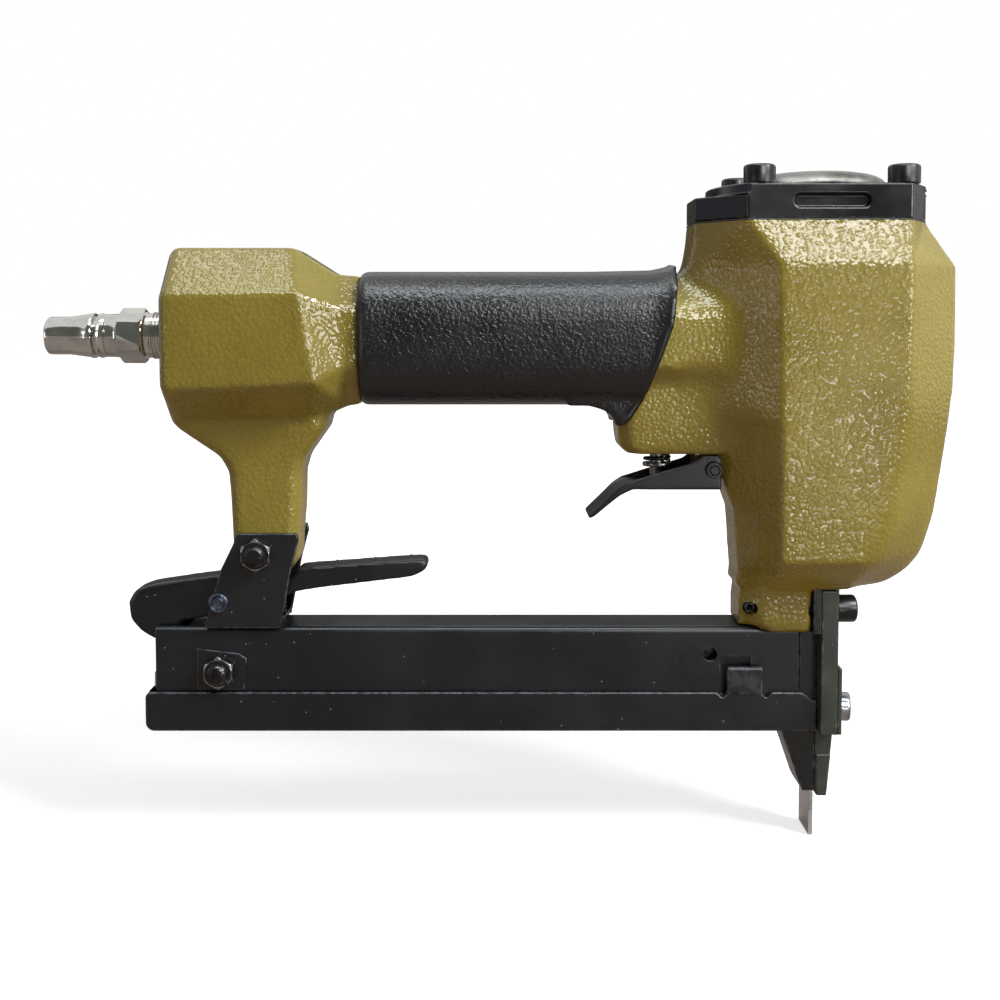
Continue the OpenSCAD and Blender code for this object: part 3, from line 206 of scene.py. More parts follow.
def copy_of(node, name, flatten=True):
    """A merged copy of a CAD node, to be shaped further."""
    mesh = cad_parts[node].data.copy()
    mesh.name = name
    mesh.materials.clear()
    piece = bpy.data.objects.new(name, mesh)
    bpy.context.collection.objects.link(piece)
    open_mesh(piece)
    if mesh.has_custom_normals:
        bpy.ops.mesh.customdata_custom_splitnormals_clear()
    bpy.ops.mesh.remove_doubles(threshold=2 * SAME_POINT)
    if flatten:
        bpy.ops.mesh.dissolve_limited(angle_limit=FLAT)
        bpy.ops.mesh.remove_doubles(threshold=0.16 * MM)
    close_mesh()
    return piece


def rounded(piece, width, segments=2, angle=32):
    """Rounds a piece's sharp edges, and marks the rounded faces for the lighter edge colour: part edge wear, part
    painted highlight.
    """
    piece.data.materials.clear()
    for _ in range(2):
        piece.data.materials.append(None)
    applied(piece, "BEVEL", width=width * MM, segments=segments, limit_method="ANGLE",
            angle_limit=radians(angle), miter_outer="MITER_ARC", material=1, use_clamp_overlap=False)
    # The bevel's faces get the lighter edge colour: part wear, part painted highlight.
    worn = [float(face.material_index) for face in piece.data.polygons]
    for face in piece.data.polygons:
        face.material_index = 0
    piece.data.attributes.new("worn_and_highlit_edge", "FLOAT", "FACE").data.foreach_set("value", worn)
    shaded(piece, 30)
    return applied(piece, "WEIGHTED_NORMAL", keep_sharp=True)


def softened(node, name, width, segments=2):
    """A copy of a CAD node with its sharp edges rounded."""
    return rounded(copy_of(node, name), width, segments)


def outlined(points, y=0):
    """A wire along (x, z) points, in mm, left in edit mode with everything selected."""
    bpy.ops.mesh.primitive_plane_add(size=1e-4, location=(0, 0, 0))
    piece = bpy.context.object
    open_mesh(piece)
    bpy.ops.mesh.merge(type="CENTER")
    bpy.ops.transform.translate(value=(points[0][0] * MM, y * MM, points[0][1] * MM))
    for (xa, za), (xb, zb) in zip(points, points[1:]):
        pulled(xb - xa, 0, zb - za)
    bpy.ops.mesh.select_all(action="SELECT")
    return piece


def drawn(name, piece):
    """Ends a piece that was drawn from a wire, with outward faces."""
    bpy.ops.mesh.select_all(action="SELECT")
    bpy.ops.mesh.remove_doubles(threshold=SAME_POINT)
    bpy.ops.mesh.normals_make_consistent(inside=False)
    close_mesh()
    return joined(name, piece)


def turned(name, profile, steps=64):
    """A lathe piece: a profile of (radius, height) points, in mm, spun round Z."""
    piece = outlined(profile)
    bpy.ops.mesh.spin(steps=steps, angle=2 * pi, center=(0, 0, 0), axis=(0, 0, 1))
    return drawn(name, piece)


def rod(name, r, low, high, sides=48):
    """A plain rod along Z from low to high, in mm; six sides make a hexagon."""
    bpy.ops.mesh.primitive_cylinder_add(
        vertices=sides, radius=r * MM, depth=(high - low) * MM, location=(0, 0, (low + high) / 2 * MM))
    return placed_here(joined(name, bpy.context.object))


def block(name, low, high):
    """A plain block between two corners, in mm."""
    bpy.ops.mesh.primitive_cube_add(size=1, location=[(a + b) / 2 * MM for a, b in zip(low, high)])
    piece = bpy.context.object
    piece.scale = [(b - a) * MM for a, b in zip(low, high)]
    return placed_here(joined(name, piece))


def sheet(name, outline, y0, y1):
    """A flat piece with an outline of (x, z) points, from y0 to y1, in mm."""
    piece = outlined(outline + outline[:1], y0)
    bpy.ops.mesh.remove_doubles(threshold=SAME_POINT)
    bpy.ops.mesh.edge_face_add()
    pulled(0, y1 - y0, 0)
    return drawn(name, piece)


def merged(name, first, *others):
    """Solid pieces made one, with flat faces left whole."""
    for other in others:
        cut(first, other, "UNION")
    open_mesh(first)
    bpy.ops.mesh.remove_doubles(threshold=0.005 * MM)
    bpy.ops.mesh.dissolve_limited(angle_limit=FLAT)
    close_mesh()
    return joined(name, first)


def rolled(piece, width, segments, test):
    """Rounds the edges whose two ends pass the test."""
    ends = piece.data.vertices
    marked(piece, "EDGE", piece.data.edges, lambda edge: all(test(ends[i].co / MM) for i in edge.vertices))
    bpy.ops.mesh.bevel(offset=width * MM, segments=segments, affect="EDGES")
    close_mesh()


def ramp(value, start, end):
    """Rises from 0 at start to 1 at end, held beyond both."""
    return max(0.0, min(1.0, (value - start) / (end - start)))


def worn_round(node, name, voxel, passes, trimmer=None):
    """A copy of a CAD node, worn round as a cast or pressed piece is."""
    piece = copy_of(node, name, flatten=False)
    if trimmer:
        cut(piece, trimmer)
    return shaded(smoothed(remeshed(piece, voxel), passes), 50)


def cut(piece, cutter, operation="DIFFERENCE", solver="EXACT"):
    """Cuts one piece with another, which is then thrown away."""
    applied(piece, "BOOLEAN", operation=operation, object=cutter, solver=solver)
    bpy.data.objects.remove(cutter)


def stands_for(piece, paint, node, body="tool_body"):
    """Gives a piece its finish, hides the CAD node it stands for and hangs the piece on the body it rides on."""
    piece.data.materials.clear()
    piece.data.materials.append(paint)
    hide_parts(node)
    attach(piece, body)


def edged(node, name, width, segments, slot, paint, body="tool_body"):
    """A piece that is the CAD's own shape with its edges rounded."""
    stands_for(softened(node, name, width, segments), paint, node, body)


# ----- finishes
def tint(red, green, blue):
    """A colour given from 0 to 255, as the shader's own linear values."""
    return [((c / 255 + 0.055) / 1.055) ** 2.4 if c > 10 else c / 255 / 12.92 for c in (red, green, blue)] + [1]


def add(tree, kind, values=None, **options):
    """Adds a shader node, sets its options, and sets or links its inputs."""
    node = tree.nodes.new("ShaderNode" + kind)
    for key, value in options.items():
        setattr(node, key, value)
    for key, value in (values or {}).items():
        if isinstance(value, bpy.types.NodeSocket):
            tree.links.new(value, node.inputs[key])
        else:
            node.inputs[key].default_value = value
    return node


def maths(tree, operation, first, second=0.0):
    """The result of one sum."""
    return add(tree, "Math", {0: first, 1: second}, operation=operation).outputs[0]


def times(tree, first, second):
    """The product of two values."""
    return maths(tree, "MULTIPLY", first, second)


def spread(tree, value, low, high, to_low=0.0, to_high=1.0, smooth=True):
    """Maps low..high to to_low..to_high, held at the ends."""
    ends = {"From Min": low, "From Max": high, "To Min": to_low, "To Max": to_high}
    kind = "SMOOTHSTEP" if smooth else "LINEAR"
    return add(tree, "MapRange", {"Value": value, **ends}, interpolation_type=kind).outputs["Result"]


def blended(tree, mask, under, over):
    """One colour over another where the mask says so."""
    return add(tree, "Mix", {0: mask, 6: under, 7: over}, data_type="RGBA").outputs[2]


def emptied(owner):
    """The node tree of a material or world, with nothing in it yet."""
    owner.use_nodes = True
    owner.node_tree.nodes.clear()
    return owner.node_tree


def noise(tree, at, scale, detail, **more):
    """Soft noise at a place."""
    return add(tree, "TexNoise", {"Vector": at, "Scale": scale, "Detail": detail, **more}).outputs["Fac"]


def pebbled(tree, start, here):
    """Close set round pebbles of thick enamel."""
    cells = add(tree, "TexVoronoi", {"Vector": here, "Scale": start["Scale"], "Smoothness": 0.4}, feature="SMOOTH_F1")
    return grained(tree, start, here, spread(tree, cells.outputs["Distance"], -0.1, 0.95, 1.0, 0.0))


def leathery(tree, start, here):
    """Run-together wrinkles of leather grained rubber."""
    cloud = noise(tree, here, start["Scale"], 1.0, Roughness=0.5, Distortion=0.5)
    return grained(tree, start, here, spread(tree, cloud, 0.28, 0.72))


def grained(tree, start, here, pebble):
    """Adds fine roughness to a grain and gives out its height and the painted shade of its hollows."""
    fine = noise(tree, here, times(tree, start["Scale"], 2.6), 2.0)
    height = add(tree, "Mix", {0: start["Fine"], 2: pebble, 3: fine}).outputs[0]
    return {"Height": height, "Hollow shade": maths(tree, "SUBTRACT", 1.0, pebble)}


def soft_tone(tree, start, here):
    """Slow drift of the tone over a surface."""
    return {"Tone": spread(tree, noise(tree, here, start["Scale"], 3.0, Roughness=0.55), 0.32, 0.68)}


def dust_specks(tree, start, here):
    """Scattered pale specks of dust."""
    dots = add(tree, "TexVoronoi", {"Vector": here, "Scale": start["Scale"]}, feature="F1").outputs
    near = spread(tree, dots["Distance"], 0.10, 0.24, 1.0, 0.0)
    chance = add(tree, "SeparateColor", {0: dots["Color"]}).outputs[0]
    return {"Speck": times(tree, near, maths(tree, "LESS_THAN", chance, start["Share"]))}


def rubbed_and_highlit_edges(tree, start, here):
    """Rounded edges made lighter, partly rubbed thin by handling and partly a painted highlight, broken up by a fine
    noise.
    """
    edge = add(tree, "Attribute", attribute_name="worn_and_highlit_edge").outputs["Fac"]
    gone = maths(tree, "SUBTRACT", 1.0, start["Share"])
    broken = spread(tree, noise(tree, here, start["Scale"], 4.0), gone, maths(tree, "ADD", gone, 0.22))
    return {"Rub and highlight": times(tree, edge, broken)}


def drawn_lines(tree, start, here):
    """Fine lines left by a tool, stretched along the axes with small counts."""
    counts = add(tree, "CombineXYZ", {i: start["Across " + axis] for i, axis in enumerate("XYZ")}).outputs[0]
    long = add(tree, "VectorMath", {0: here, 1: counts}, operation="MULTIPLY").outputs[0]
    return {"Height": noise(tree, long, 1.0, 2.0)}


def effect(name, make, **inputs):
    """A shared effect as a node group, with the outputs that its maker gives out."""
    tree = bpy.data.node_groups.new(name, "ShaderNodeTree")
    for label, value in inputs.items():
        label = label.replace("_", " ")
        tree.interface.new_socket(label, in_out="INPUT", socket_type="NodeSocketFloat").default_value = value
    start = tree.nodes.new("NodeGroupInput")
    given = make(tree, start.outputs, add(tree, "TexCoord").outputs["Object"])
    for label in given:
        tree.interface.new_socket(label, in_out="OUTPUT", socket_type="NodeSocketFloat")
    end = tree.nodes.new("NodeGroupOutput")
    for label, value in given.items():
        tree.links.new(value, end.inputs[label])
    return tree


PEBBLE = effect("pebbled grain", pebbled, Scale=700, Fine=0.2)
LEATHER = effect("leather grain", leathery, Scale=700, Fine=0.2)
TONE = effect("soft tone", soft_tone, Scale=40)
SPECKS = effect("dust specks", dust_specks, Scale=900, Share=0.05)
# Lighter rounded edges: part wear, part painted highlight.
RUB_AND_HIGHLIGHT = effect("rubbed and highlit edges", rubbed_and_highlit_edges, Share=0.5, Scale=420)
LINES = effect("drawn lines", drawn_lines, Across_X=10, Across_Y=10, Across_Z=10)


def shared(tree, group, values):
    """Places a shared effect in a material, with its own values."""
    node = add(tree, "Group", node_tree=group)
    for key, value in values.items():
        node.inputs[key].default_value = value
    return node.outputs


def finish(name, dark, light, rough, metal=0.0, specular=0.5, tone=40.0, grain=None, lines=None,
           specks=None, rub_and_highlight=None, calm=None):
    """A procedural finish: tone from dark to light, roughness that follows it, relief in metres.

    grain is (group, scale, fine, depth, how far painted shade darkens the hollows), lines is (x, y, z, depth),
    specks is (scale, share, colour), rub_and_highlight is (share, colour) of the lighter rounded edges, part wear
    and part painted highlight, and calm names an attribute that takes the grain away.
    """
    material = bpy.data.materials.new(name)
    material.use_nodes = True
    tree = material.node_tree
    shader = tree.nodes["Principled BSDF"]
    shader.inputs["Metallic"].default_value = metal
    shader.inputs["Specular IOR Level"].default_value = specular
    drift = shared(tree, TONE, {"Scale": tone})["Tone"]
    colour = blended(tree, drift, tint(*dark), tint(*light))
    roughness = spread(tree, drift, 0.0, 1.0, rough[0], rough[1], smooth=False)
    height = None
    if grain:
        group, scale, fine, depth, hollow_shade_share = grain
        pebbles = shared(tree, group, {"Scale": scale, "Fine": fine})
        # Painted shade: the grain's hollows are darkened towards a deeper tone of the dark colour, as if shade lay in
        # them.
        shade = times(tree, pebbles["Hollow shade"], hollow_shade_share)
        height = times(tree, pebbles["Height"], depth)
        if calm:
            keep = add(tree, "Attribute", attribute_name=calm).outputs["Fac"]
            left = maths(tree, "SUBTRACT", 1.0, keep)
            height = times(tree, height, left)
            shade = times(tree, shade, left)
        colour = blended(tree, shade, colour, tint(*[c * 0.45 for c in dark]))
    if lines:
        across = shared(tree, LINES, {"Across " + axis: count for axis, count in zip("XYZ", lines)})["Height"]
        scored = times(tree, across, lines[3])
        height = maths(tree, "ADD", height, scored) if height else scored
    # Lighter rounded edges, part wear and part painted highlight.
    if rub_and_highlight:
        worn = shared(tree, RUB_AND_HIGHLIGHT, {"Share": rub_and_highlight[0]})["Rub and highlight"]
        colour = blended(tree, worn, colour, tint(*rub_and_highlight[1]))
    if specks:
        dust = shared(tree, SPECKS, {"Scale": specks[0], "Share": specks[1]})["Speck"]
        colour = blended(tree, dust, colour, tint(*specks[2]))
        roughness = maths(tree, "ADD", roughness, times(tree, dust, 0.3))
    tree.links.new(colour, shader.inputs["Base Color"])
    tree.links.new(roughness, shader.inputs["Roughness"])
    if height:
        relief = add(tree, "Bump", {"Height": height, "Distance": 1.0})
        tree.links.new(relief.outputs["Normal"], shader.inputs["Normal"])
    return material


# The edge colours given below make the rounded edges lighter: part wear, part painted highlight.
CAST_ENAMEL = finish(
    "khaki gold enamel", (148, 135, 54), (164, 151, 65), (0.14, 0.20), tone=30,
    grain=(PEBBLE, 940, 0.05, 0.00012, 0.16))
GRIP_RUBBER = finish(
    "leather grained grip rubber", (15, 17, 20), (21, 23, 27), (0.26, 0.34), tone=50,
    grain=(LEATHER, 1050, 0.08, 0.00009, 0.15), calm="smooth_rim")
CAP_ENAMEL = finish(
    "gloss black cap enamel", (17, 18, 20), (24, 26, 29), (0.18, 0.28), specular=0.45, tone=60,
    grain=(LEATHER, 420, 0.5, 0.000012, 0.1), specks=(700, 0.02, (120, 119, 116)),
    rub_and_highlight=(0.5, (78, 82, 88)))
BLACK_ENAMEL = finish(
    "satin black sheet enamel", (23, 27, 32), (31, 35, 41), (0.25, 0.35), specular=0.38, tone=45,
    grain=(LEATHER, 700, 0.6, 0.000008, 0.1), specks=(900, 0.022, (150, 150, 148)),
    rub_and_highlight=(0.62, (84, 89, 96)))
NOSE_STEEL = finish(
    "blackened nose steel", (55, 63, 57), (71, 80, 72), (0.32, 0.44), specular=0.35, tone=90,
    grain=(LEATHER, 1500, 0.5, 0.00001, 0.1), specks=(900, 0.03, (120, 120, 112)),
    rub_and_highlight=(0.5, (104, 106, 102)))
BLACK_OXIDE = finish(
    "black oxide steel", (20, 21, 23), (34, 35, 38), (0.22, 0.34), metal=0.35, tone=120,
    specks=(900, 0.02, (120, 118, 112)), rub_and_highlight=(0.5, (104, 104, 104)))
WORN_STEEL = finish(
    "worn nut steel", (38, 38, 40), (66, 66, 66), (0.16, 0.28), metal=0.8, tone=300,
    specks=(900, 0.04, (150, 148, 144)), rub_and_highlight=(0.7, (150, 149, 146)))
BRIGHT_STEEL = finish(
    "bright ground steel", (176, 178, 180), (206, 208, 210), (0.22, 0.34), metal=1, tone=150,
    lines=(3000, 3000, 60, 0.000004))
ZINC = finish("zinc plated steel", (128, 133, 140), (168, 172, 178), (0.2, 0.32), metal=1, tone=260)
BLUED_STEEL = finish("blued pin steel", (62, 72, 84), (112, 124, 138), (0.18, 0.3), metal=0.9, tone=420)
CHROME = finish(
    "chrome plated plug", (186, 185, 180), (204, 203, 198), (0.06, 0.13), metal=1, tone=180,
    lines=(2600, 30, 30, 0.000003))
DOME_STEEL = finish(
    "stained dome steel", (78, 75, 68), (132, 131, 127), (0.26, 0.40), metal=1, tone=110,
    specks=(1100, 0.35, (84, 78, 66)))
SPRING_STEEL = finish("oiled spring steel", (42, 41, 41), (66, 65, 64), (0.24, 0.36), metal=1, tone=400)
STEM_STEEL = finish("oiled stem steel", (82, 80, 78), (124, 121, 117), (0.2, 0.3), metal=1, tone=300)
ALLOY = finish(
    "turned alloy", (168, 170, 172), (198, 200, 202), (0.26, 0.38), metal=1, tone=120,
    lines=(40, 40, 2600, 0.000004))
BRASS = finish("dull brass", (150, 120, 70), (182, 150, 92), (0.28, 0.42), metal=1, tone=200)
SEAL_RUBBER = finish(
    "black seal rubber", (18, 18, 19), (30, 30, 31), (0.45, 0.6), tone=200,
    grain=(LEATHER, 2600, 0.4, 0.000015, 0.1))
BUMPER_RUBBER = finish(
    "amber bumper rubber", (96, 62, 26), (126, 84, 38), (0.4, 0.55), tone=120,
    grain=(LEATHER, 1800, 0.4, 0.00002, 0.1))


# ----- studio
def held(name, data, place, turn):
    """Puts a camera or light in the scene."""
    holder = bpy.data.objects.new(name, data)
    holder.location, holder.rotation_euler = place, turn
    bpy.context.collection.objects.link(holder)
    return holder


def camera_view():
    """The photograph's viewpoint: close, level with the grip."""
    eye = bpy.data.cameras.new("camera")
    eye.lens = 44.06
    eye.sensor_width = 36
    eye.shift_y = -0.111
    eye.clip_start = 0.01
    bpy.context.scene.camera = held("camera", eye, (-0.0035, -0.340, 0.003), (radians(87), 0, 0))


def lamp(name, place, aim, size, power, colour=(1, 1, 1)):
    """A soft rectangular light at a place, aimed at a point of the tool."""
    light = bpy.data.lights.new(name, "AREA")
    light.shape = "RECTANGLE"
    light.size, light.size_y = size
    light.energy = power
    light.color = colour
    return held(name, light, place, (Vector(aim) - Vector(place)).to_track_quat("-Z", "Y").to_euler())


def pale_surround():
    """White to the camera and to gloss, else a soft sky over a warm ground."""
    world = bpy.data.worlds.new("studio")
    bpy.context.scene.world = world
    tree = emptied(world)
    way = add(tree, "SeparateXYZ", {0: add(tree, "TexCoord").outputs["Generated"]}).outputs
    lit = maths(tree, "ADD", times(tree, way["Z"], 0.7), times(tree, way["X"], 0.6))
    sky = blended(tree, spread(tree, lit, -0.5, 0.7), (0.30, 0.225, 0.16, 1), (0.42, 0.42, 0.43, 1))
    soft = add(tree, "Background", {"Color": sky})
    white = add(tree, "Background", {"Color": (1, 1, 1, 1)})
    both = add(tree, "MixShader", {0: seen_directly(tree), 1: soft.outputs[0], 2: white.outputs[0]})
    add(tree, "OutputWorld", {"Surface": both.outputs[0]})


def seen_directly(tree):
    """One for rays of the camera, gloss and glass, nought for light on a surface."""
    path = add(tree, "LightPath").outputs
    first = maths(tree, "MAXIMUM", path["Is Camera Ray"], path["Is Glossy Ray"])
    return maths(tree, "MAXIMUM", first, path["Is Transmission Ray"])


def pale_floor():
    """A wide pale floor that keeps the soft shadow of the tool."""
    bpy.ops.mesh.primitive_circle_add(
        vertices=96, radius=6, fill_type="NGON", location=(0, 0, cad_box[0][2] - 0.0002))
    floor = bpy.context.object
    floor.name = "floor"
    material = bpy.data.materials.new("pale floor")
    tree = emptied(material)
    path = add(tree, "LightPath").outputs
    here = add(tree, "TexCoord").outputs["Object"]
    away = add(tree, "VectorMath", {0: here}, operation="LENGTH").outputs["Value"]
    tone = blended(tree, path["Is Glossy Ray"], (0.80, 0.80, 0.80, 1), (0.32, 0.26, 0.225, 1))
    tone = blended(tree, path["Is Diffuse Ray"], tone, (0.40, 0.295, 0.19, 1))
    matt = add(tree, "BsdfDiffuse", {"Color": tone})
    straight = times(tree, path["Is Camera Ray"], spread(tree, away, 0.12, 0.55, 0.62, 1.0))
    shine = maths(tree, "MAXIMUM", path["Is Glossy Ray"], path["Is Transmission Ray"])
    shine = times(tree, shine, spread(tree, away, 0.9, 2.0, 0.12, 1.0))
    lift = add(tree, "Emission", {"Color": (1, 1, 1, 1), "Strength": maths(tree, "MAXIMUM", straight, shine)})
    both = add(tree, "AddShader", {0: matt.outputs[0], 1: lift.outputs[0]})
    add(tree, "OutputMaterial", {"Surface": both.outputs[0]})
    floor.data.materials.append(material)


def dark_flag(name, low, high, colour):
    """A dark panel that only gloss sees, so that enamel and metal keep dark bands. Corners in mm."""
    panel = block(name, low, high)
    material = bpy.data.materials.new(name)
    tree = emptied(material)
    cloth = add(tree, "Emission", {"Color": colour})
    add(tree, "OutputMaterial", {"Surface": cloth.outputs[0]})
    panel.data.materials.append(material)
    panel.visible_camera = panel.visible_diffuse = panel.visible_shadow = panel.visible_transmission = False


camera_view()
pale_surround()
pale_floor()
lamp("key light", (0.66, -0.38, 0.57), (0.0, 0, -0.02), (0.32, 0.32), 8.1)
for card in (("window card", (0.32, -0.79, 0.43), (0.083, 0, 0.024), (0.40, 0.24), 5.2),
             ("top card", (0.08, -0.36, 0.84), (0.02, 0, 0), (0.8, 0.24), 7.0, (0.90, 0.96, 1.0)),
             ("right card", (0.66, -0.58, 0.12), (0.0, 0, 0.0), (0.26, 0.26), 2.4),
             ("low card", (0.325, -0.88, -0.22), (0.085, 0, -0.05), (0.16, 0.26), 3.6),
             ("rear card", (-0.27, 0.0, 0.90), (-0.075, 0, 0.018), (0.30, 0.15), 0.9),
             ("left card", (-0.66, -0.55, 0.0), (0.06, 0, 0), (0.04, 0.5), 0.5, (1.0, 0.92, 0.84))):
    lamp(*card).visible_diffuse = False
dark_flag("flag behind the camera", (-1600, -1300, -150), (1600, -1280, 2200), (0.15, 0.16, 0.14, 1))
dark_flag("flag at the left", (-1320, -1300, -500), (-1300, 500, 900), (0.40, 0.42, 0.50, 1))
dark_flag("flag behind the tool", (-1600, 1280, -500), (1600, 1300, 500), (0.10, 0.09, 0.08, 1))
bpy.context.scene.view_settings.view_transform = "Standard"


# ----- cast body
GRIP_END = [(44.9, 30.0), (44.5, 20.2), (42.5, 3.0), (35.2, -17.5), (32.0, -22.4), (28.7, -24.6)]


def past_grip_end(x, z):
    """How far, in mm, a point lies behind the grip's slanted front end."""
    nearest = 99.0
    for (x0, z0), (x1, z1) in zip(GRIP_END, GRIP_END[1:]):
        reach = (x1 - x0) ** 2 + (z1 - z0) ** 2
        along = max(0.0, min(1.0, ((x - x0) * (x1 - x0) + (z - z0) * (z1 - z0)) / reach))
        nearest = min(nearest, hypot(x - x0 - along * (x1 - x0), z - z0 - along * (z1 - z0)))
    return nearest


def end_of_grip(z):
    """Where the slanted end of the grip lies at a height, in mm."""
    for (x0, z0), (x1, z1) in zip(GRIP_END, GRIP_END[1:]):
        if z >= z1:
            return x0 + (x1 - x0) * ramp(z, z0, z1)
    return GRIP_END[-1][0]


def bores(spare, plugged):
    """The casting's machined holes as blanks, in mm: to fill them, or longer to cut them."""
    along_z, along_x, along_y = (0, 0, 0), (0, 90, 0), (90, 0, 0)
    holes = [
        # radius, ends of the hole, how far a cutter runs out past them, way, place
        (18.0, 16.0, 34.0, 0.0, 1.0, along_z, (DRIVER_X, 0, 0)),
        (17.0, -54.0, 16.5, 0.0, 0.0, along_z, (DRIVER_X, 0, 0)),
        (15.05, -57.0, -50.0, 0.0, 0.0, along_z, (DRIVER_X, 0, 0)),
        (6.55, -92.6, -79.0, 4.0, 0.0, along_x, (0, 0, 0)),
        (9.5, -80.0, 70.0, 0.0, 0.0, along_x, (0, 0, 0)),
        (6.5, -31.6, -0.8, 5.0, 0.0, along_z, (VALVE_X, 0, 0)),
        (1.65, -6.0, 6.0, 9.0, 9.0, along_y, (TRIGGER_X, 0, TRIGGER_Z)),
        (2.65, -7.6, 7.6, 8.0, 8.0, along_y, (LEG_SCREW_X, 0, LEG_SCREW_Z)),
        (1.65, -11.0, 11.0, 5.0, 5.0, along_y, (FOOT_PIN_X, 0, FOOT_PIN_Z)),
        (2.25, 66.0, 74.0, 0.0, 8.0, along_x, (0, NOSE_SCREW_Y, NOSE_SCREW_Z)),
        (2.25, 66.0, 74.0, 0.0, 8.0, along_x, (0, -NOSE_SCREW_Y, NOSE_SCREW_Z))]
    for x, y in CAP_SCREWS:  # the rear ones are cut short, where the wall is thin
        holes.append((2.55, 14.0, 34.0, -11.0 if x < DRIVER_X else 0.0, 1.0, along_z, (x, y, 0)))
    blanks = []
    for r, low, high, before, after, turn, at in holes:
        if not plugged:
            low, high = low - before, high + after
        blanks.append(placed(rod("bore", r + spare, low, high), *at, turn=turn))
    return blanks


def soft_run(x, y, z):
    """Where the casting's faces run soft: round the neck, less by the cap screws, and low in front."""
    neck = ramp(x, 43, 46) * ramp(x, 66, 62) * ramp(z, -31, -28) * ramp(z, 29, 24)
    return max(neck * (1 - 0.85 * ramp(z, 12, 18) * ramp(x, 55, 58)), ramp(x, 91, 95) * ramp(z, -16, -26))


def rear_of_head(x, y, z):
    """The lower rear face of the head, above the foot."""
    return ramp(x, 50, 54) * ramp(x, 65.5, 59) * ramp(z, -42, -48) * ramp(z, -73, -65)


def under_grip(x, y, z):
    """The part of the handle that the grip covers."""
    front = end_of_grip(z)
    return ramp(x, -41.0, -40.2) * ramp(x, front - 0.6, front - 1.6) * ramp(z, -25, -23.6)


def cast_body():
    """Head, handle and leg in one casting: bores plugged, remeshed, worn round, seat cut flat, bores cut again.

    Room for the pulled trigger's cheeks is cut under the boss.
    """
    body = copy_of("body_casting", "cast_body", flatten=False)
    marked(body, "FACE", body.data.polygons, lambda face: face.normal.z > 0.99 and face.center.z > 30.1 * MM)
    pulled(0, 0, 5)
    close_mesh()
    slot = block("lug slot", (62.25, -6.4, -79.6), (66.0, 6.4, -68.0))
    body = joined("cast_body", body, slot, *bores(0.05, True))
    remeshed(body, 0.8)
    smoothed(body, 7, lambda x, y, z: 1 - 0.75 * ramp(z, -66, -69))
    smoothed(body, 110, soft_run)
    shifted(body, 2.2, rear_of_head, "X")
    shifted(body, -0.9, under_grip)
    open_mesh(body)
    bpy.ops.mesh.bisect(plane_co=(0, 0, SEAT_Z * MM), plane_no=(0, 0, 1), clear_outer=True, use_fill=True)
    close_mesh()
    swing_room = [block("swing room", (49.4, low, -36.0), (55.8, high, -31.0))
                  for low, high in ((-9.2, -5.6), (5.6, 9.2))]
    for blank in bores(0.15, False) + swing_room:
        cut(body, blank, solver="MANIFOLD")
    shaded(body, 45)
    stands_for(body, CAST_ENAMEL, "body_casting")


cast_body()


# ----- grip
def grip():
    """Rubber sleeve with a rolled lip along the slanted end and smooth bands at both ends."""
    sleeve = copy_of("grip_sleeve", "grip_sleeve_rubber", flatten=False)
    cheek = [(24.5, -14.0), (36.4, -14.0), *GRIP_END[3:], (27.4, -22.0), (25.5, -18.0)]
    walls = [sheet("lip wall", cheek, way * 11.7, way * 9.4) for way in (-1, 1)]
    sleeve = joined("grip_sleeve_rubber", sleeve, *walls)
    smoothed(remeshed(sleeve, 0.75), 6)
    masks = []
    for vert in sleeve.data.vertices:
        x, z = vert.co.x / MM, vert.co.z / MM
        rims = 2.6 - past_grip_end(x, z), 2.0 - (x + 41.5), 5.5 - (z + 24.6)
        masks.append(max(min(1.0, max(0.0, rim)) for rim in rims))
    shifted(sleeve, 0.45, lambda x, y, z: max(0.0, 1 - abs(past_grip_end(x, z) - 1.1) / 1.1))
    sleeve.data.attributes.new("smooth_rim", "FLOAT", "POINT").data.foreach_set("value", masks)
    shaded(sleeve, 50)
    stands_for(sleeve, GRIP_RUBBER, "grip_sleeve")


grip()


# ----- fasteners
THREAD_PITCH, KEY_DEPTH = 0.8, 2.6


def thread(r, depth, crest, start, count):
    """A thread's profile, in mm: for each turn a root between two crests."""
    points = []
    for i in range(count):
        z = start + THREAD_PITCH * i
        points += [(r, z + crest), (r - depth, z + THREAD_PITCH / 2), (r, z + THREAD_PITCH - crest)]
    return points


def socket_screw(name, head_r, head_h, shank_r, shank_l, key=4.0):
    """A socket head screw along Z, its head up from zero, with a knurled rim."""
    rim = [(head_r - 0.25, -0.01), (head_r, 0.2), (head_r, head_h - 0.7), (head_r - 0.18, head_h - 0.3),
           (head_r - 0.5, head_h - 0.06), (head_r - 0.85, head_h)]
    head = turned(name, [(0, -0.01), *rim, (0, head_h)], steps=72)
    pick_only(head)
    for vert in head.data.vertices:
        flat = hypot(vert.co.x, vert.co.y)
        spoke = round(atan2(vert.co.y, vert.co.x) / (2 * pi) * 72)
        vert.select = spoke % 2 == 0 and flat > (head_r - 0.1) * MM
    bpy.ops.object.mode_set(mode="EDIT")
    bpy.ops.transform.resize(value=(0.985, 0.985, 1))
    close_mesh()
    cut(head, rod("socket", key / sqrt(3), head_h - KEY_DEPTH, head_h + 1, sides=6))
    profile = [(0, -shank_l), (shank_r - 0.5, -shank_l), (shank_r, 0.5 - shank_l)]
    profile += thread(shank_r, 0.18, 0.2, 0.5 - shank_l, int((shank_l - 0.8) / THREAD_PITCH)) + [(shank_r, 0), (0, 0)]
    return joined(name, head, turned("shank", profile, steps=32))


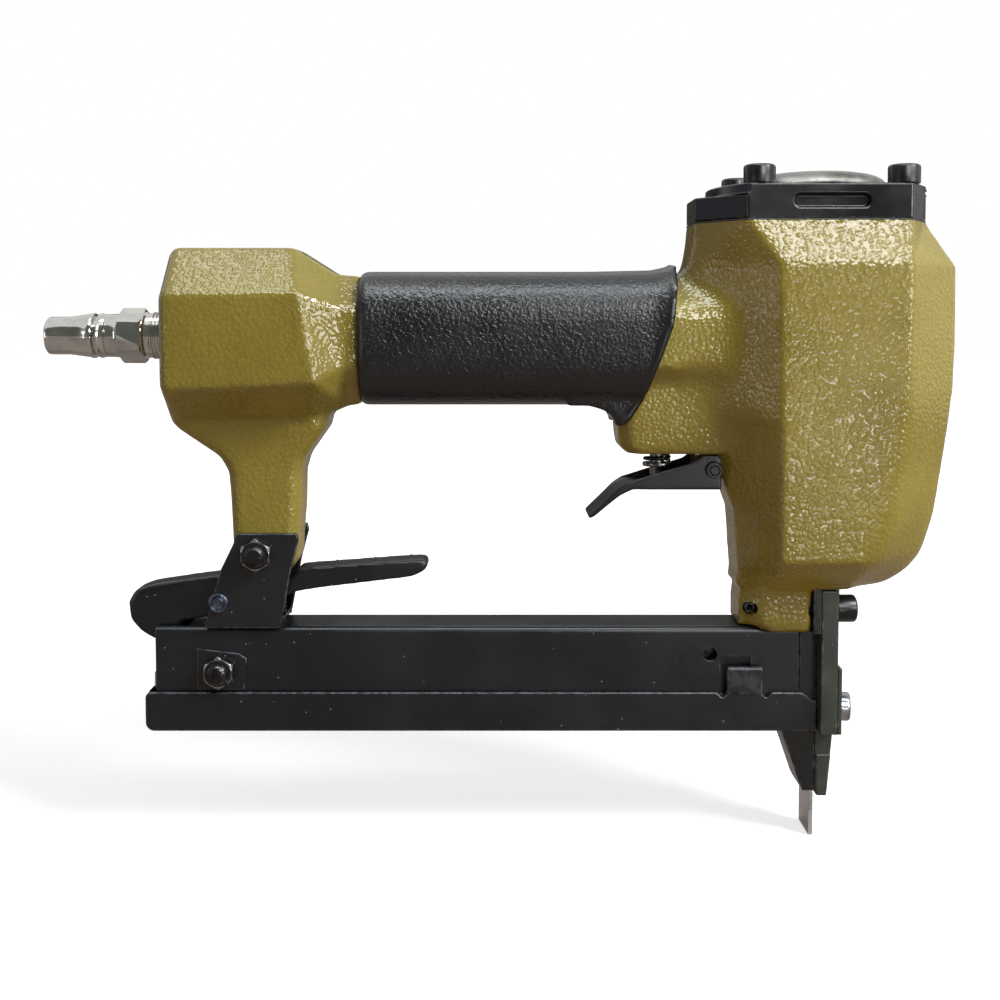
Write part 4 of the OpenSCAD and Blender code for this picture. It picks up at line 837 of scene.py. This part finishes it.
def hex_nut(name):
    """A hexagon nut along Z, up from zero, chamfered on its outer face."""
    flats, height, hole_r = 8.0, 3.6, 2.55
    corner = flats / sqrt(3)
    nut = rod(name, corner, 0, height, sides=6)
    rim = [(corner + 0.4, -0.2), (corner + 0.4, height - 0.75), (flats / 2 - 0.15, height + 0.02)]
    lens = turned("lens", [(0, -0.2), *rim, (0, height + 0.02)], steps=72)
    cut(nut, lens, "INTERSECT")
    cut(nut, rod("hole", hole_r, -1, height + 1))
    return rounded(nut, 0.22, 2, angle=25)


def screw_end(name, r, low, high):
    """The threaded end of a screw along Z, with a domed tip."""
    profile = [(0, low), (r, low)] + thread(r, 0.2, 0.15, low, int((high - low - 1.0) / THREAD_PITCH))
    profile += [(r, high - 0.7), (r - 0.5, high - 0.15), (r - 1.1, high), (0, high)]
    return turned(name, profile, steps=40)


def cap_screws():
    """Four socket head screws on the cap, each turned a little differently."""
    first = settle(socket_screw("cap_socket_screws", 4.25, 5.0, 2.5, 22.0))
    screws = [first] + [copied(first, "screw") for _ in range(3)]
    for screw, (x, y) in zip(screws, CAP_SCREWS):
        placed(screw, x, y, CAP_TOP, turn=(0, 0, 17 * (x > 80) + 9 * (y > 0)))
    piece = joined("cap_socket_screws", *screws)
    stands_for(piece, BLACK_OXIDE, "cap_screws")


def nose_screws():
    """Two black screws high on the nose plate, and a bright one below."""
    first = settle(socket_screw("nose_socket_screws", 3.8, 5.4, 2.2, 13.9, key=3.4))
    second = copied(first, "screw")
    lower = settle(socket_screw("nose_zinc_screw", 4.0, 5.4, 2.2, 3.5, key=3.4))
    placed(first, 88.3, -NOSE_SCREW_Y, NOSE_SCREW_Z, turn=(0, 90, 0))
    placed(second, 88.3, NOSE_SCREW_Y, NOSE_SCREW_Z, turn=(20, 90, 0))
    placed(lower, 89.5, 0, -104.2, turn=(10, 90, 0))
    stands_for(joined("nose_socket_screws", first, second), BLACK_OXIDE, "nose_screws")
    stands_for(lower, ZINC, "nose_lower_screw")


def on_magazine(piece, side, y):
    """Puts a piece on the short screws' axis, pointing out of one side of the magazine."""
    return placed(piece, LATCH_X, side * y, MAGAZINE_SCREW_Z, turn=(-90 * side, 0, 0))


def leg_and_magazine_screws():
    """Screw and nut through the leg, short screws and nuts on the magazine's sides."""
    screw = settle(socket_screw("leg_screw", 4.25, 5.0, 2.5, 25.3))
    placed(screw, LEG_SCREW_X, 9.9, LEG_SCREW_Z, turn=(-90, 0, 0))
    nut = hex_nut("leg_nut")
    placed(nut, LEG_SCREW_X, -9.9, LEG_SCREW_Z, turn=(90, 0, 0))
    stands_for(screw, BLACK_OXIDE, "bracket_screw")
    stands_for(nut, WORN_STEEL, "bracket_nut")
    ends, nuts = [], []
    for side in (-1, 1):
        end = settle(screw_end("magazine_screw_ends", 2.5, 0.6, 8.4))
        back = turned("head", [(0, -0.05), (4.2, -0.05), (4.2, 0.8), (3.9, 0.95), (2.4, 0.95), (0, 0.95)], steps=48)
        end = joined("magazine_screw_ends", end, back)
        ends.append(on_magazine(end, side, 5.9))
        nut = hex_nut("magazine_nuts")
        nuts.append(on_magazine(nut, side, 8.6))
    stands_for(joined("magazine_screw_ends", *ends), WORN_STEEL, "channel_screws")
    stands_for(joined("magazine_nuts", *nuts), WORN_STEEL, "channel_nuts")


cap_screws()
nose_screws()
leg_and_magazine_screws()


# ----- top cap and dome
def cap():
    """Cast cap on its gasket; in the side slots the lighter edge colour is kept only on the upward-facing lower lips, a
    painted highlight.
    """
    piece = softened("top_cap", "top_cap_enamelled", 0.55, segments=3)
    worn = piece.data.attributes["worn_and_highlit_edge"].data
    # Inside the slots only faces turned up keep the lighter edge colour: a painted highlight on the lit lower lips.
    for face in piece.data.polygons:
        at = face.center / MM
        if 34.0 < at.z < 39.2 and abs(at.x - DRIVER_X) < 16 and face.normal.z < 0.25:
            worn[face.index].value = 0.0
    stands_for(piece, CAP_ENAMEL, "top_cap")
    edged("cap_gasket", "cap_gasket_sheet", 0.1, 1, "seal_rubber", SEAL_RUBBER)


def dome():
    """Pressed dome on the cap: a shallow shell with a rolled rim."""
    outer = [(0, 44.3), (4, 44.28), (8, 44.18), (11, 44.0), (13.5, 43.75), (15.5, 43.35), (17, 42.85), (18.1, 42.2),
             (18.9, 41.4), (19.35, 40.7)]
    edge = [(19.6, 40.3), (19.8, 40.1), (19.6, 40.02), (17.05, 40.02), (17.05, 39.25), (15.6, 39.25), (15.6, 40.6)]
    inner = [(15.2, 41.8), (14, 42.6), (11.5, 43.0), (7, 43.3), (0, 43.4)]
    piece = settle(placed(turned("dome_pressing", outer + edge + inner, steps=96), x=DRIVER_X), smooth=40)
    stands_for(piece, DOME_STEEL, "dome_plate")


cap()
dome()


# ----- springs and rings
def wound(name, r, wire, length, curls, dead=1, steps=36, sides=10):
    """A wound spring along Z from zero: open curls between closed end curls."""
    close = wire * 1.04
    open_pitch = (length - wire - 2 * dead * close) / curls
    parts, z = [], wire / 2
    for pitch, turns in ((close, dead), (open_pitch, curls), (close, dead)):
        bpy.ops.mesh.primitive_circle_add(
            vertices=sides, radius=wire / 2 * MM, location=(r * MM, 0, z * MM), rotation=(pi / 2, 0, 0))
        part = placed_here(bpy.context.object)
        applied(part, "SCREW", angle=2 * pi, screw_offset=pitch * MM, iterations=turns, steps=steps,
                render_steps=steps, use_normal_calculate=True)
        z += pitch * turns
        parts.append(part)
    spring = joined(name, *parts)
    open_mesh(spring)
    bpy.ops.mesh.remove_doubles(threshold=2 * SAME_POINT)
    bpy.ops.mesh.select_all(action="DESELECT")
    bpy.ops.mesh.select_non_manifold(
        extend=False, use_wire=False, use_multi_face=False, use_non_contiguous=False, use_verts=False)
    bpy.ops.mesh.fill()
    close_mesh()
    return settle(spring, smooth=60)


def springs():
    """The four wound springs, each wound to the length listed for it."""
    rows = [  # node, body, (radius, wire, length, open curls), place in mm, joint, level of the anchor in m, share kept
        ("valve_spring", "valve_body", (3.4, 1.0, 11.2, 3), (VALVE_X, 0, -35.15), "valve_lift", -0.03515, 0.786),
        ("head_valve_spring", "tool_body", (9.0, 1.2, 9.4, 2), (DRIVER_X, 0, 27.05), "head_valve_lift", 0.03645, 0.68),
        ("latch_spring", "tool_body", (2.2, 0.7, 4.39, 2), (-66.0, 0, -78.1), "latch_turn", -0.0781, 0.58)]
    for node, body, sizes, place, joint, level, keep in rows:
        spring = placed(wound(node + "_wire", *sizes), *place)
        stands_for(spring, SPRING_STEEL, node, body)
        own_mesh(spring)
    push = wound("pusher_spring_wire", 2.5, 0.8, 156.2, 42, dead=2, steps=24, sides=8)
    placed(push, -88.5, 0, -103.9, turn=(0, 90, 0))
    stands_for(push, SPRING_STEEL, "pusher_spring", "cover_body")
    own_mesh(push)


def seal_rings():
    """Sealing rings in their grooves: body, node, x, then (z, radius, wire) in mm."""
    rows = [("tool_body", "cylinder_o_rings", DRIVER_X, [(-55.75, 14.425, 1.15), (17.4, 17.375, 1.1)]),
            ("head_valve_body", "head_valve_o_ring", DRIVER_X, [(30.45, 15.875, 1.1)]),
            ("piston_body", "piston_o_ring", DRIVER_X, [(-36.21, 12.35, 1.15)]),
            ("tool_body", "bushing_o_rings", VALVE_X, [(-18.85, 5.975, 0.9), (-14.71, 5.975, 0.9)]),
            ("valve_body", "stem_o_ring", VALVE_X, [(-18.5, 3.325, 0.95)])]
    for body, node, x, rings in rows:
        parts = []
        for z, r, wire in rings:
            bpy.ops.mesh.primitive_torus_add(
                major_segments=96, minor_segments=14, major_radius=r * MM, minor_radius=wire / 2 * MM,
                location=(x * MM, 0, z * MM))
            ring = placed_here(bpy.context.object)
            open_mesh(ring)
            bpy.ops.transform.resize(value=(1, 1, 0.96), center_override=(x * MM, 0, z * MM))
            close_mesh()
            parts.append(ring)
        piece = settle(joined(node + "_rubber", *parts), smooth=60)
        stands_for(piece, SEAL_RUBBER, node, body)


def bumper():
    """Rubber bumper under the piston, waisted so that it can give."""
    profile = [(7.6, 0.3), (8.0, 0.02), (12.3, 0.02), (12.85, 0.6), (12.85, 2.6), (12.2, 4.2), (12.0, 5.6),
               (12.2, 7.0), (12.85, 8.6), (12.85, 10.6), (12.3, 11.18), (8.1, 11.18), (7.55, 10.7), (7.55, 5.6),
               (7.6, 0.3)]
    piece = settle(placed(turned("bumper_rubber", profile, steps=72), DRIVER_X, 0, CYL_FLOOR), smooth=50)
    stands_for(piece, BUMPER_RUBBER, "bumper")
    edged("head_valve_seal", "head_valve_seal_rubber", 0.25, 2, "seal_rubber", SEAL_RUBBER, "head_valve_body")


springs()
seal_rings()
bumper()


# ----- pins
def headed_pin(name, r, head_r, half, x, z):
    """A pin across the tool with a ringed head, 1 mm thick, on the near side."""
    profile = [(0, -half), (r - 0.3, -half), (r, 0.3 - half), (r, half - 1), (head_r, half - 1), (head_r, half - 0.3),
               (head_r - 0.25, half), (head_r - 0.75, half), (head_r - 0.95, half - 0.25), (r - 0.35, half - 0.25),
               (r - 0.55, half - 0.02), (0, half - 0.02)]
    return placed(settle(turned(name, profile, steps=56), smooth=30), x, 0, z, turn=(90, 0, 0))


def pins():
    """Pivot pins of the trigger and latch with their clips, and the slit roll pin through the foot."""
    trigger = headed_pin("trigger_pivot_pin", 1.6, 2.3, 9.3, TRIGGER_X, TRIGGER_Z)
    stands_for(trigger, BLACK_OXIDE, "trigger_pin")
    latch = headed_pin("latch_pivot_pin", 2.0, 2.7, 11.0, LATCH_X, LATCH_Z)
    stands_for(latch, BLUED_STEEL, "latch_pin")
    for node in ("trigger_pin_clip", "latch_pin_clip"):
        edged(node, node + "_washer", 0.12, 2, "bright_steel", ZINC)
    profile = [(0.9, -8.6), (1.35, -8.6), (1.6, -8.2), (1.6, 8.2), (1.35, 8.6), (0.9, 8.6), (0.9, -8.6)]
    roll = settle(turned("foot_roll_pin", profile, steps=48), smooth=30)
    cut(roll, block("slit", (0.2, -0.3, -12), (3, 0.3, 12)))
    placed(roll, FOOT_PIN_X, 0, FOOT_PIN_Z, turn=(90, 60, 0))
    stands_for(roll, SPRING_STEEL, "foot_pin")


pins()


# ----- air plug
def plug():
    """Quick air plug: threaded neck, hexagon, collar, groove, bulge and open nose."""
    neck = [(3.5, -12.5), (6.0, -12.5), (6.5, -12.0), (6.5, 0.0)]
    for i in range(5):
        z = 0.4 + 0.95 * i
        neck += [(6.5, z), (6.05, z + 0.3), (6.05, z + 0.45), (6.5, z + 0.75)]
    neck += [(6.5, 5.3), (6.2, 5.6), (6.2, 6.9), (6.6, 7.4), (6.6, 14.3), (6.3, 14.5)]
    collar = [(6.05, 15.2), (5.95, 17.6), (5.8, 17.75), (5.8, 17.95), (5.95, 18.1), (6.0, 19.4), (6.2, 19.7)]
    groove = [(6.1, 20.3), (5.5, 20.5), (5.1, 20.8), (5.1, 21.1), (5.6, 21.3), (6.1, 21.5)]
    bulge = [(6.25, 21.9), (6.2, 22.5), (6.0, 23.2), (5.7, 25.3), (5.35, 27.9), (5.25, 28.8)]
    nose = [(5.25, 33.9), (5.1, 34.35), (4.75, 34.6), (4.0, 34.6), (3.6, 34.3), (3.5, 33.8), (3.5, -12.5)]
    lathe = settle(turned("air_plug_chrome", neck + collar + groove + bulge + nose, steps=96), smooth=28)
    nut = placed(rod("hexagon", 13.3 / sqrt(3), 7.6, 14.2, sides=6), turn=(0, 0, 30))
    lens = turned("lens", [(0, 7.5), (7.0, 7.6), (8.3, 8.4), (8.3, 13.4), (7.0, 14.22), (0, 14.3)], steps=96)
    cut(nut, lens, "INTERSECT")
    cut(nut, rod("hole", 6.4, 0, 20))
    applied(nut, "BEVEL", width=0.2 * MM, segments=2, limit_method="ANGLE", angle_limit=radians(25))
    settle(nut, smooth=25)
    piece = joined("air_plug_chrome", lathe, nut)
    placed(piece, -93.9, 0, 0, turn=(0, -90, 0))
    stands_for(piece, CHROME, "air_plug")
    edged("plug_washer", "plug_washer_fibre", 0.2, 2, "brass", BRASS)


plug()


# ----- magazine and rear bracket
def magazine_channel():
    """Top channel of the magazine: bent sheet, lug for the foot, raised pads and holes."""
    shell = block("channel", (-98.2, -8, -106.9), (78.7, 8, -79.8))
    cut(shell, block("inside", (-99, -5.8, -110), (80, 5.8, -82)))
    cut(shell, block("hook notch", (-99, -5.8, -85), (-89.7, 5.8, -79)))
    rolled(shell, 1.8, 6, lambda at: abs(at.y) > 7.9 and at.z > -79.9)
    lug = block("lug", (66.2, -6, -81.5), (78.7, 6, -70.8))
    rounded(lug, 0.4)
    for side in (-1, 1):
        cut(shell, on_magazine(rod("screw hole", 2.55, -2, 4), side, 6))
    cut(shell, placed(rod("side hole", 1.9, 0, 4), 54.2, -5, -87.3, turn=(90, 0, 0)))
    for low, high in ((-9, -6.6), (6.6, 9)):
        cut(shell, block("tab pocket", (57.0, low, -98.5), (65.4, high, -88.1)))
    rounded(shell, 0.3, 2, angle=40)
    pads = []
    for side in (-1, 1):
        outline = [(-86.7, -97.2), (-73.7, -97.2), (-73.05, -88.4), (-75.0, -87.1), (-86.7, -85.65)]
        pad = sheet("pad", outline, side * 7.9, side * 8.6)
        cut(pad, on_magazine(rod("screw hole", 2.55, -2, 4), side, 7))
        pads.append(rounded(pad, 0.3, 3))
    piece = joined("magazine_top_channel", shell, lug, *pads)
    stands_for(piece, BLACK_ENAMEL, "magazine_channel")


def magazine_cover():
    """Sliding cover: bent sheet with a raised tab between two notches and a stepped front corner."""
    side = [(-100.8, -108.4), (83.4, -108.4), (83.4, -99.9), (81.8, -99.5), (80.4, -98.4), (79.2, -97.6),
            (71.06, -97.6), (69.5, -99.16), (67.9, -97.6), (59.1, -97.6), (57.5, -99.16), (55.94, -97.6),
            (-100.8, -97.6)]
    near, far = sheet("near side", side, -9.5, -8.3), sheet("far side", side, 8.3, 9.5)
    floor = block("floor", (-100.8, -9.5, -108.4), (78.6, 9.5, -107.2))
    end = block("rear end", (-100.8, -9.5, -108.4), (-99.6, 9.5, -97.6))
    shell = merged("magazine_slide_cover", floor, end, near, far)
    rolled(shell, 2.4, 6, lambda at: at.x < -100.7 and at.z < -108.3)
    rolled(shell, 1.6, 5, lambda at: at.x < -100.7 and at.z > -97.7)
    rounded(shell, 0.45, 3, angle=40)
    tabs = []
    for way in (-1, 1):
        tab = sheet("tab", [(58.6, -98.0), (68.4, -98.0), (68.4, -90.4), (58.6, -90.4)], way * 8.5, way * 9.95)
        rolled(tab, 1.0, 4, lambda at: at.z > -91)
        rounded(tab, 0.4, 3, angle=40)
        # The whole tab takes part of the lighter edge colour: a painted highlight that makes its face read as lit.
        for mark in tab.data.attributes["worn_and_highlit_edge"].data:
            mark.value = max(mark.value, 0.4)
        tabs.append(tab)
    piece = joined("magazine_slide_cover", shell, *tabs)
    stands_for(piece, BLACK_ENAMEL, "magazine_cover", "cover_body")


def rear_bracket():
    """Bent sheet bracket between the leg and the magazine."""
    plate = [(-84.1, -79.8), (-63.6, -79.8), (-60.45, -63.6), (-58.3, -55.5), (-58.8, -53.7), (-75.2, -53.7),
             (-76.25, -56.8), (-79.5, -63.4), (-84.1, -78.8)]
    near, far = sheet("near plate", plate, -9.9, -8.3), sheet("far plate", plate, 8.3, 9.9)
    base = block("base", (-84.1, -9.9, -79.8), (-63.7, 9.9, -78.2))
    shell = merged("rear_bracket_sheet", base, near, far)
    for r, x, z in ((2.6, LEG_SCREW_X, LEG_SCREW_Z), (2.05, LATCH_X, LATCH_Z)):
        cut(shell, placed(rod("hole", r, -12, 12), x, 0, z, turn=(90, 0, 0)))
    rounded(shell, 0.35, 3, angle=30)
    stands_for(shell, BLACK_ENAMEL, "rear_bracket")


def nose_plate():
    """Front plate of the nose, its tongue broader at the lower end."""
    outline = [(84.0, -115.8), (88.2, -115.8), (87.15, -127.6), (84.5, -127.6), (84.0, -126.0)]
    plate = softened("nose_plate", "nose_front_plate", 0.5, 3)
    plate = joined("nose_front_plate", plate, rounded(sheet("tongue", outline, -6.6, 6.6), 0.5, 3))
    stands_for(plate, NOSE_STEEL, "nose_plate")


def trigger_and_latch():
    """Pressed trigger with a rounded finger, and cast latch lever with three ribs and a round nose."""
    trigger = worn_round("trigger", "trigger_lever", 0.36, 5)
    smoothed(trigger, 26, lambda x, y, z: ramp(x, 37, 33))
    smoothed(trigger, 40, lambda x, y, z: ramp(x, 29, 26))
    stands_for(trigger, BLACK_ENAMEL, "trigger", "trigger_body")
    above_arm = [(-112, -76), (-106.6, -72.4), (-104.6, -70.3), (-101, -69.0), (-97.15, -68.3), (-83.4, -66.5),
                 (-66, -64.9), (-57.6, -64.15), (-22, -61.5), (-22, -50), (-112, -50)]
    trimmer = sheet("trimmer", above_arm, -8, 8)
    latch = worn_round("latch_lever", "latch_lever_casting", 0.5, 14, trimmer)
    smoothed(latch, 30, lambda x, y, z: max(ramp(x, -90, -94), ramp(x, -30, -27)))
    ribs = []
    for x, z in ((-49.5, -63.9), (-38.7, -63.1), (-28.6, -62.4)):
        rib = placed(rod("rib", 0.55, -4.0, 4.0, sides=20), x, 0, z, turn=(90, 0, 0))
        ribs.append(rounded(rib, 0.2, 2))
    latch = joined("latch_lever_casting", latch, *ribs)
    stands_for(latch, BLACK_ENAMEL, "latch_lever", "latch_body")


magazine_channel()
magazine_cover()
rear_bracket()
trigger_and_latch()
nose_plate()


# ----- pieces on the CAD's own shapes
SHAPED = [
    # node, piece, edge rounding in mm, segments, slot, finish, body if not the tool's
    ("nose_guide", "nose_guide_block", 0.35, 2, "black_steel", BLACK_ENAMEL),
    ("nose_cover", "nose_thin_cover", 0.35, 3, "black_steel", NOSE_STEEL),
    ("staple_rail", "staple_rail_bar", 0.2, 2, "bright_steel", SPRING_STEEL, "cover_body"),
    ("cover_end_block", "cover_end_block_milled", 0.4, 2, "alloy", ALLOY, "cover_body"),
    ("pusher", "staple_pusher", 0.15, 2, "bright_steel", BRIGHT_STEEL, "pusher_body"),
    ("cylinder_sleeve", "cylinder_sleeve_turned", 0.25, 2, "alloy", ALLOY),
    ("head_valve", "head_valve_turned", 0.25, 2, "alloy", ALLOY, "head_valve_body"),
    ("piston", "piston_turned", 0.3, 2, "alloy", ALLOY, "piston_body"),
    ("driver_blade", "driver_blade_ground", 0.12, 2, "bright_steel", BRIGHT_STEEL, "piston_body"),
    ("driver_pin", "driver_cross_pin", 0.2, 2, "bright_steel", BRIGHT_STEEL, "piston_body"),
    ("valve_bushing", "valve_bushing_turned", 0.15, 2, "brass", BRASS),
    ("valve_stem", "valve_stem_turned", 0.15, 2, "bright_steel", STEM_STEEL, "valve_body"),
]
for row in SHAPED:
    edged(*row)
